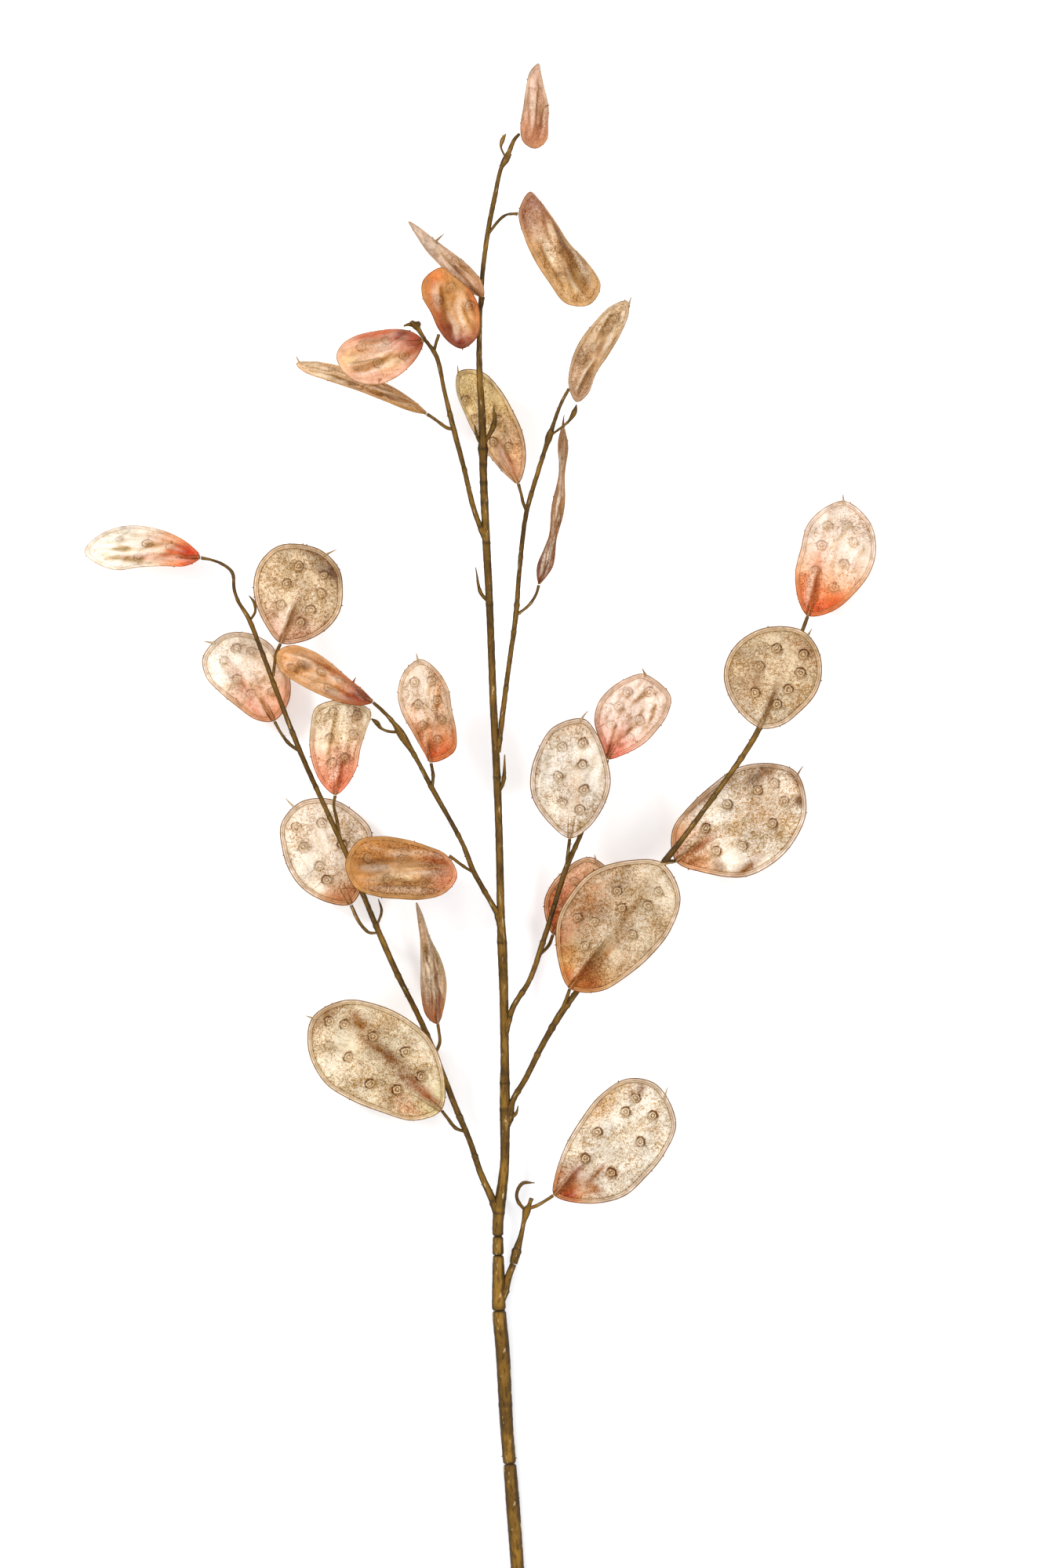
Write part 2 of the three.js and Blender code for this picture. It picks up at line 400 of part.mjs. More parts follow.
// The flat outline of a pod as (u, v) points: base, up its left side, tip, down its right side.
function podOutline(pod, length) {
  const flat = (u, v) => new THREE.Vector3(u, v, 0);
  const corners = [
    flat(0, 0), ...STATIONS.map((s, i) => flat(s * length, pod.left[i])),
    flat(length, 0), ...STATIONS.map((s, i) => flat(s * length, -pod.right[i])).reverse(),
  ];
  const curve = new THREE.CatmullRomCurve3(corners, true, "centripetal");
  return Array.from({ length: POD_SIDES }, (_, i) => curve.getPoint(i / POD_SIDES));
}

function podBlade(surface, outline, twisted) {
  const centre = outline.reduce((sum, p) => sum.add(p), new THREE.Vector3())
    .multiplyScalar(1 / outline.length);
  const inward = (p, distance) => p.clone().lerp(centre, distance / p.distanceTo(centre));
  const rings = [
    { half: FILM_HALF, at: (p) => inward(p, RIM_INNER_IN) },
    { half: RIM_HALF, at: (p) => inward(p, RIM_CREST_IN) },
  ];
  if (twisted) rings.unshift({ half: FILM_HALF, at: (p) => centre.clone().lerp(p, CORE_RING) });
  const lifted = (flat, height) => {
    const place = surface.at(flat.x, flat.y);
    return place.point.addScaledVector(place.normal, height);
  };
  const n = outline.length;
  const points = outline.map((p) => lifted(p, 0));
  const triangles = [];
  for (const face of [1, -1]) {
    const first = points.length;
    points.push(lifted(centre, face * FILM_HALF));
    for (const ring of rings) {
      points.push(...outline.map((p) => lifted(ring.at(p), face * ring.half)));
    }
    const ringStart = [...rings.map((_, k) => first + 1 + k * n), 0];
    const add = (a, b, c) => triangles.push(...(face > 0 ? [a, c, b] : [a, b, c]));
    for (let j = 0; j < n; j++) {
      const next = (j + 1) % n;
      add(first, ringStart[0] + j, ringStart[0] + next);
      for (let k = 0; k < rings.length; k++) {
        const inner = ringStart[k];
        const outer = ringStart[k + 1];
        add(inner + j, outer + j, outer + next);
        add(inner + j, outer + next, inner + next);
      }
    }
  }
  return solidFromTriangles(points, triangles);
}

// A low bump through the film: two flat pyramids back to back.
function bump(surface, u, v, alongHalf, acrossHalf, height) {
  const { point, across, normal } = surface.at(u, v);
  const points = [];
  for (let j = 0; j < BUMP_SIDES; j++) {
    const angle = (j / BUMP_SIDES) * 2 * Math.PI;
    points.push(point.clone().addScaledVector(surface.along, alongHalf * Math.cos(angle))
      .addScaledVector(across, acrossHalf * Math.sin(angle)));
  }
  points.push(point.clone().addScaledVector(normal, height));
  points.push(point.clone().addScaledVector(normal, -height));
  const triangles = [];
  for (let j = 0; j < BUMP_SIDES; j++) {
    const next = (j + 1) % BUMP_SIDES;
    triangles.push(j, BUMP_SIDES + 1, next, j, next, BUMP_SIDES);
  }
  return solidFromTriangles(points, triangles);
}

function podBeak(pod, surface) {
  const [share, v, degrees, length] = pod.beak;
  const { point } = surface.at(share * surface.length, v);
  const turn = THREE.MathUtils.degToRad(degrees);
  const direction = surface.along.clone().multiplyScalar(Math.cos(turn))
    .addScaledVector(surface.left, Math.sin(turn));
  const root = point.clone().addScaledVector(direction, -BEAK_ROOT);
  const tip = point.clone().addScaledVector(direction, length);
  return stem([[...root, BEAK_RADIUS], [...tip, POINT_RADIUS]], BEAK_SIDES);
}

// Where the stem meets a pod.
function podSeat(pod) {
  const surface = podSurface(pod);
  const [share, v] = pod.seat ?? [0, 0];
  return surface.at(share * surface.length, v).point.toArray();
}

function buildPod(pod) {
  const surface = podSurface(pod);
  const twisted = pod.sway !== undefined || Math.abs(pod.roll[1] - pod.roll[0]) > TWIST_THAT_NEEDS_CORE;
  let solid = podBlade(surface, podOutline(pod, surface.length), twisted);
  for (const [share, v] of pod.seeds) {
    solid = solid.add(bump(surface, share * surface.length, v, SEED_RADIUS, SEED_RADIUS, SEED_HALF));
  }
  const keelReach = surface.length * KEEL_SHARE;
  if (!pod.seat) {
    solid = solid.add(bump(surface, keelReach + KEEL_START, 0, keelReach, KEEL_WIDTH, KEEL_HALF));
  }
  if (pod.beak) solid = solid.add(podBeak(pod, surface));
  if (!pod.rests) return solid;
  return solid.subtract(boxBetween(
    new THREE.Vector3(-BEYOND, -BEYOND, -BEYOND), new THREE.Vector3(BEYOND, BEYOND, 0)));
}

// ---- assembly ----
const MATERIALS = {
  stem: new THREE.MeshStandardMaterial({ color: 0x7a6233, roughness: 0.62, metalness: 0 }),
  pod_cream: new THREE.MeshStandardMaterial({ color: 0xe6d3b8, roughness: 0.42, metalness: 0 }),
  pod_tan: new THREE.MeshStandardMaterial({ color: 0xbf9f76, roughness: 0.42, metalness: 0 }),
  pod_coral: new THREE.MeshStandardMaterial({ color: 0xdf9a74, roughness: 0.42, metalness: 0 }),
};
const CREAM_PODS = new Set(["pod_lower_left_1", "pod_lower_left_3", "pod_lower_left_4",
  "pod_lower_left_5", "pod_lower_left_7", "pod_right_inner_1", "pod_right_inner_2",
  "pod_right_outer_1", "pod_right_outer_3", "pod_spur_1", "pod_mid_left_2"]);
const CORAL_PODS = new Set(["pod_top_left_1", "pod_top_left_2", "pod_mid_left_1",
  "pod_right_inner_3", "pod_crown_1"]);

const honesty = new THREE.Group();
honesty.name = "honesty_seed_pod_stem";

function addMesh(name, solid, material) {
  const { vertProperties, triVerts } = solid.getMesh();
  const geometry = new THREE.BufferGeometry();
  geometry.setAttribute("position", new THREE.BufferAttribute(vertProperties, 3));
  geometry.setIndex(new THREE.BufferAttribute(triVerts, 1));
  geometry.computeVertexNormals();
  const mesh = new THREE.Mesh(geometry, material);
  mesh.name = name;
  honesty.add(mesh);
}

function podMaterial(name) {
  if (CREAM_PODS.has(name)) return MATERIALS.pod_cream;
  return CORAL_PODS.has(name) ? MATERIALS.pod_coral : MATERIALS.pod_tan;
}

// The twigs of one stem: its buds, and the side twigs that reach for its pods.
function twigsOf(stemName) {
  const twigs = (BUDS[stemName] ?? []).map((route) => stem(route, TWIG_SIDES));
  for (const pod of Object.values(PODS)) {
    if (pod.on !== stemName || !pod.twig) continue;
    twigs.push(stem(routeToSeat(pod.twig, podSeat(pod)), TWIG_SIDES));
  }
  return twigs;
}

// The pod at the stem's own end, if it has one. A pod with a perch sits on the stem's upper side.
function endPod(stemName) {
  return Object.values(PODS).find((pod) => pod.on === stemName && !pod.twig && !pod.perched);
}

// The whole main stem is one route, cut into sleeves. Each sleeve's upper end has a spigot that
// plugs into a socket in the sleeve above it.
const mainWhole = stem(MAIN_ROUTE, MAIN_SIDES);
const mainCutter = stem(MAIN_ROUTE, MAIN_SIDES, SEAT_GAP);

function mainPoint(y) {
  const k = MAIN_ROUTE.findIndex((p) => p[1] <= y);
  const [a, b] = [MAIN_ROUTE[k - 1], MAIN_ROUTE[k]];
  const share = (y - a[1]) / (b[1] - a[1]);
  return a.slice(0, 3).map((value, i) => value + share * (b[i] - value));
}

function spigot(jointY, extra) {
  const low = mainPoint(jointY - SPIGOT_ROOT);
  const high = mainPoint(jointY + SPIGOT_LENGTH + extra);
  return stem([[...low, SPIGOT_RADIUS + extra], [...high, SPIGOT_RADIUS + extra]], BRANCH_SIDES);
}

function sleeve(topY, bottomY) {
  return mainWhole.intersect(boxBetween(
    new THREE.Vector3(-BEYOND, bottomY, -BEYOND), new THREE.Vector3(BEYOND, topY, BEYOND)));
}

const SLEEVE_NAMES = ["main_stem", "neck_sleeve", "fork_sleeve", "lower_sleeve", "foot_sleeve"];
SLEEVE_NAMES.forEach((name, i) => {
  const top = SLEEVE_JOINTS[i - 1];
  const bottom = SLEEVE_JOINTS[i];
  let solid = sleeve((top ?? BEYOND) - SEAT_GAP / 2, (bottom ?? -BEYOND) + SEAT_GAP / 2);
  if (name === "main_stem") {
    solid = solid.add(stem(routeToSeat(TIP_ROUTE, podSeat(endPod(name))), BRANCH_SIDES));
    for (const twig of twigsOf(name)) solid = solid.add(twig);
  }
  if (name === "fork_sleeve") solid = solid.add(stem(FORK_ARM_ROUTE, BRANCH_SIDES));
  if (bottom) solid = solid.subtract(spigot(bottom, SEAT_GAP));
  if (top) solid = solid.add(spigot(top, 0));
  addMesh(name, solid, MATERIALS.stem);
});

for (const [name, route] of Object.entries(ROUTES)) {
  const pod = endPod(name);
  let solid = stem(pod ? routeToSeat(route, podSeat(pod)) : route, BRANCH_SIDES);
  for (const twig of twigsOf(name)) solid = solid.add(twig);
  addMesh(`branch_${name}`, solid.subtract(mainCutter), MATERIALS.stem);
}

for (const [name, pod] of Object.entries(PODS)) {
  addMesh(name, buildPod(pod), podMaterial(name));
}

export default honesty;
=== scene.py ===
# %% [markdown]
# # A honesty seed pod stem, in cells
# The spray is already built as plain, faceted solids: a jointed main stem, seven side branches and
# twenty-seven flat seed pods. This lesson dresses those solids. Every pod gets a thin, translucent
# film with a beaded rim, seed rings, a folded base and a beak, and every stem gets a round, moulded
# skin with joints, nubs and scuffs. Nothing moves, so every piece rides on the one body, "root".

# %% Load the fixed frame
import bpy
import math
import random
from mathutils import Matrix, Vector, noise


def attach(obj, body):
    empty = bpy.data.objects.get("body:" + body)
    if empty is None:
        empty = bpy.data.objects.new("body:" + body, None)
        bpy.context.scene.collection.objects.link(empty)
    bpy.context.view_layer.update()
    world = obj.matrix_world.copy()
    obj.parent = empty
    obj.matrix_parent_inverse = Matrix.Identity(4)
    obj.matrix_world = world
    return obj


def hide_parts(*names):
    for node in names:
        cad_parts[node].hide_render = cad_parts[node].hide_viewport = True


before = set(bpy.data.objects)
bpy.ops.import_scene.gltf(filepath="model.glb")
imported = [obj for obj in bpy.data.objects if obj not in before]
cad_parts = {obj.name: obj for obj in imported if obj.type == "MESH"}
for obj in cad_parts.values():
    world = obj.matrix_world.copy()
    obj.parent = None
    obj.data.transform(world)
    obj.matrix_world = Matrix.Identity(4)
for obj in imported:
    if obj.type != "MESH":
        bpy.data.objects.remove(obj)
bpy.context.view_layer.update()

MM = 0.001
print("solids to dress:", len(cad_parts))

# %% [markdown]
# ## Colours
# Shaders work in linear light, while a maker names a colour by the values seen on a screen. One small
# function turns the second into the first, so all the tones below can be named as they look.

# %% Named tones
def tone(red, green, blue):
    def linear(value):
        value /= 255
        return value / 12.92 if value <= 0.04045 else ((value + 0.055) / 1.055) ** 2.4
    return Vector((linear(red), linear(green), linear(blue)))


PALE, RUST, BROWN = (255, 250, 240), (186, 104, 52), (112, 72, 34)      # screen values, for the looks
LIT = tone(*PALE)                   # painted light where a film leans to the light, or on a fold or crease
GOLD = tone(188, 144, 86)
STEM_OLIVE, STEM_LIGHT, STEM_DARK = tone(86, 59, 14), tone(134, 97, 32), tone(42, 27, 7)
SCUFF = tone(196, 172, 128)
RING_TONE = tone(138, 94, 40)       # a seed's ring darkens the film by this
GLEAM = tone(206, 184, 152)         # painted glint that bright grains and the seeds' glints screen onto the film's own tone
NECK_TONE = tone(176, 136, 84)
# The rim band's paler tone, which also stands in for painted highlight on its beads.
RIM_PALE = tone(208, 170, 120)
FILM_WARMTH = tone(255, 251, 242)   # what the light loses on its way through a film
print("tones ready, from", [round(c, 2) for c in LIT], "to", [round(c, 2) for c in STEM_DARK])

# %% [markdown]
# ## Sizes
# All sizes are in millimetres, as on the solids. A stem's route lists points along its middle with
# half its width there. A pod has a base, a tip, half widths on both sides of the way between them at
# five shares of its length, and a roll in degrees that turns it about that way.

# %% Driving sizes
SPACE_LOW = (-176.98, -373.64, 0.02)    # the space the whole spray fills
SPACE_HIGH = (177.08, 372.98, 58.22)
SLEEVE_JOINTS = (-150.5, -159, -183.8, -252.5)      # heights on the main stem
JOINT_RINGS = (201.3, 194.3, 186.2, 177.5, 159.6, 132, 55, -18.9, -81.9, -93.8, -140, -226, -300, -338)
SEAT_GAP = 0.3           # a stem stops this far from the pod it carries
STEM_STEP = 1.0          # distance between rings of a stem's skin
STEM_FULL = 1.06         # the round skin is this much wider than the faceted solid in it
KNOT_SPACES = (11, 30)   # between the knots of a stem

WIDTH_STATIONS = (0.1, 0.3, 0.5, 0.7, 0.9)
OUTLINE_POINTS = 132     # round a pod
INNER_RINGS = 18         # of a pod's film, inside its rim
FILM_HALF = 0.18         # half the film's thickness
LOWEST = 0.5             # nothing of a pod goes lower over the table than about this
# Dark rim lines: own brown plus painted shade in the grooves; light ones: painted highlight on bead and welt.
RIM_LINES = (            # each line of the rim: how far in, half its thickness, how dark
    (0.22, 0.22, 0.34), (0.78, 0.38, 1.1), (1.3, 0.1, 0.55), (1.72, 0.32, 1.06), (2.2, 0.11, 0.5))
# The film under the rim takes the same bands: own brown plus painted shade, and painted highlight.
RIM_SHADES = (           # how light the film is under the rim, from the outline inwards
    (0.0, 0.34), (0.35, 0.55), (0.65, 1.05), (1.0, 1.0), (1.3, 0.62), (1.6, 1.05), (1.9, 1.0), (2.2, 0.52),
    (2.6, 0.86), (3.2, 0.95), (4.2, 1.0))
RIM_WIDTH = 2.2
OUTER_LINE = 0.55        # how much of the outermost line even a crumpled pod keeps
OUTER_REACH = 0.5        # what lies nearer to the outline than this belongs to that line
NECK_FROM, NECK_TO = 2.6, -0.1          # a pod's neck, measured along the pod from its base
RING_RADIUS, RING_THICK = 2.1, 0.11     # a seed's ring
SEED_REACH = 3.2         # the marks round a seed reach this far
FAR_OFF = (9.0, 9.0, 0.0)               # where there is no seed near
INNERMOST = 9            # as far from the edge as any effect of the edge reaches

# %% Routes of the stems
MAIN_ROUTE = [
    (13, 333, 47.5, 1.25), (11.5, 330, 47.3, 1.6), (9.5, 326.5, 47, 1), (6.5, 313, 46, 1.05),
    (3.3, 296.5, 44.5, 1.05), (1.1, 279, 43, 1), (-0.2, 256, 41.5, 1.05), (-0.3, 237.5, 40, 1.3),
    (0.8, 216.5, 38.5, 1.55), (1.2, 205, 37.6, 1.75), (1.3, 201.5, 37.3, 2.1), (1.4, 197, 37, 1.75),
    (1.4, 192.5, 36.5, 1.65), (2.8, 159.5, 34, 1.7), (4.2, 132.5, 31.5, 1.6), (5.9, 88, 27.5, 1.55),
    (7.5, 55, 25, 1.6), (8.4, 31, 23, 1.6), (9.4, -11, 19.5, 1.75), (9.8, -19, 19, 2.05),
    (10.5, -39, 17.5, 1.95), (11, -71.5, 15, 1.85), (11, -82, 14.3, 2.1), (11, -93.5, 13.5, 2.2),
    (11, -115.5, 12, 1.95), (10.5, -123, 11.5, 2.1), (8.4, -139, 10.3, 2.5), (8, -143, 10, 2.4),
    (7.9, -150.5, 9.4, 2.35), (8, -159, 8.8, 2.4), (8.2, -167, 8.2, 2.6), (8.4, -183.8, 7.1, 2.95),
    (10, -201, 6, 3), (11.8, -235, 4.5, 2.8), (13.2, -252.5, 3.8, 2.75), (14.4, -268, 3.3, 2.9),
    (16.6, -298, 2.9, 2.8), (19, -332, 2.8, 2.8), (21.5, -373.5, 2.8, 2.8)]

TIP_ROUTE = [(12.2, 331.6, 47.4, 0.9), (13.4, 334.5, 47.6, 1), (15.3, 338.8, 48, 0.8)]

FORK_ARM_ROUTE = [
    (8.6, -182, 7.3, 1.5), (10.8, -176, 7.4, 1.65), (12.8, -168, 7.8, 1.5), (14.8, -163.05, 8.2, 1.4)]

BRANCH_ROUTES = {
    "top_left": [
        (3.6, 157, 34.3, 1), (0.9, 164.2, 34.8, 1.1), (-3.1, 175.6, 36.5, 1.1), (-6.9, 191.5, 38, 1.05),
        (-12, 211, 40.5, 1.1), (-16, 227.5, 42.5, 0.85), (-19.5, 242.5, 44.5, 1), (-25, 250.5, 45.5, 0.8),
        (-27.6, 254.6, 46, 1.2), (-28.6, 256, 46.2, 1.7), (-29.6, 257.4, 46.4, 0.9)],
    "top_right": [
        (8, 66, 25.7, 1.2), (10, 82.5, 27.8, 1.15), (12.5, 102, 30, 1.05), (16, 127.5, 32.5, 1.1),
        (17.5, 146.5, 34, 1), (20.5, 172, 36, 1.05), (26, 191.5, 38, 0.95), (29.5, 202.5, 39.5, 1),
        (30.7, 206.3, 40, 1.6), (32, 210, 40.5, 1), (35.5, 220, 41.7, 0.75)],
    "mid_left": [
        (9.6, -18, 19.2, 1.3), (8, -7, 20.5, 1.35), (4.5, -0.5, 21.8, 1.1), (-3, 13, 24, 1.15),
        (-8, 25.5, 26, 1), (-21.5, 50, 29.5, 1.1), (-29.5, 65, 31, 1), (-35.5, 74.5, 32, 1.7),
        (-38.5, 79, 32.4, 1), (-44, 85, 33, 0.8)],
    "lower_left": [
        (8, -144, 10, 1.5), (6, -135.5, 10.6, 1.6), (0.5, -123, 11.2, 1.4), (-4.7, -107.8, 12, 1.25),
        (-11, -92.7, 13.2, 1.3), (-24.9, -57.7, 15.5, 1.15), (-37.4, -32.2, 18.5, 1.25),
        (-46.9, -10.5, 21, 1.2), (-59.4, 19.8, 23.3, 1.05), (-69.1, 41.2, 24, 1), (-78.9, 62.8, 24, 1.1),
        (-90.4, 92, 23.5, 1), (-97.1, 110, 22.5, 0.95), (-103.5, 126, 21, 1), (-108, 133.4, 19.6, 0.75),
        (-109.9, 139, 18.6, 0.75), (-110.4, 145.5, 17.8, 0.75), (-112.5, 148.3, 17.3, 0.7),
        (-116, 150.5, 16.8, 0.6), (-120.6, 152.1, 16.2, 0.6)],
    "right_inner": [
        (11, -62, 15.8, 1.2), (14.5, -48.5, 17.5, 1.25), (22, -36, 19.3, 1.1), (28, -19, 21, 1.15),
        (31.5, -8, 22, 1.05), (38.5, 14.5, 24, 1.15), (45, 29.5, 25, 0.95), (53.5, 52, 26, 0.9)],
    "right_outer": [
        (10.8, -104, 12.8, 1.4), (13, -97, 13.5, 1.9), (14.3, -90.5, 14.2, 1.35), (20.5, -79.5, 15.3, 1.25),
        (27.5, -65.5, 16.6, 1.3), (36.5, -50, 18.4, 1.5), (43.5, -40.5, 19.5, 1.2), (64, -10, 22, 1.2),
        (82.2, 16.9, 24, 1.5), (89.9, 26.7, 24.5, 1.15), (107.9, 51.2, 25.5, 1.1), (118, 65.5, 26, 1.15),
        (124.5, 76.5, 26, 1.2), (134, 98, 23.5, 0.95), (144, 120.5, 18.8, 0.85)],
    "spur": [
        (14.9, -162.6, 8.2, 1.75), (15.9, -158.5, 8.6, 1.95), (18.3, -150, 9.6, 1.1), (19.6, -144, 10.4, 1),
        (21, -138.5, 11, 1.7), (21.7, -137, 11.2, 0.95), (23, -133.5, 12, 0.95)],
}

# Buds, bracts and hooks, each a short route of its own.
BUDS = {
    "main_stem": [
        [(11.5, 330.5, 47.3, 0.5), (9.4, 335.5, 48, 0.5), (10, 338.5, 48.4, 1), (11.5, 341.5, 48.6, 0.2)],
        [(1.6, 203, 37.6, 0.6), (6.3, 212.5, 39.2, 1.1), (6, 220.5, 40, 0.2)],
        [(1.2, 202, 37.4, 0.6), (-1.2, 206.5, 38, 0.7), (-2.5, 212, 38.4, 0.2)],
        [(5, 132, 31.3, 0.6), (0.4, 137, 32, 0.8), (-2, 148.5, 32.6, 0.2)],
        [(8.3, 48, 24.4, 0.6), (10.4, 53, 25.2, 0.9), (11, 65, 26.4, 0.2)],
    ],
    "top_left": [
        [(-28.4, 255.8, 46, 1.1), (-31.5, 256.6, 46.4, 0.8), (-34, 255.8, 46.6, 0.3)],
        [(-28.2, 255.6, 46.4, 1), (-27.4, 257, 46.9, 1.4), (-26.8, 257.6, 47, 0.6)],
        [(-29.2, 255.8, 46.3, 1), (-30, 257.3, 46.8, 1.2), (-30.5, 258.2, 47, 0.5)],
    ],
    "top_right": [
        [(31, 207, 40, 0.5), (36, 210.5, 43.4, 0.5), (39.5, 213.5, 44.6, 0.6), (42, 217.5, 45, 1.2),
        (43, 221, 45, 0.2)],
    ],
    "mid_left": [
        [(-36, 75, 32, 0.6), (-41, 75.3, 33, 0.6), (-44.3, 76.8, 33.6, 0.6), (-46, 79, 33.8, 1.1),
        (-48.5, 81, 34, 0.2)],
    ],
    "lower_left": [
        [(-102.6, 125, 21, 0.5), (-100.4, 129, 21.4, 0.6), (-101, 133, 21.6, 0.6),
        (-103.2, 136, 21.6, 0.2)],
        [(-46.4, -12, 20.8, 0.5), (-44, -5, 20.6, 0.6), (-45.5, 0.5, 20.4, 0.2)],
    ],
    "right_outer": [
        [(12.6, -98, 13.6, 0.9), (16, -95.5, 14.6, 0.7), (17, -92, 15, 0.2)],
    ],
    "spur": [
        [(20.6, -139.5, 10.8, 0.6), (17, -135, 10.8, 0.7), (16.4, -131, 10.8, 0.75),
        (19, -126.8, 10.9, 0.8), (24.4, -126.6, 11, 0.2)],
    ],
}

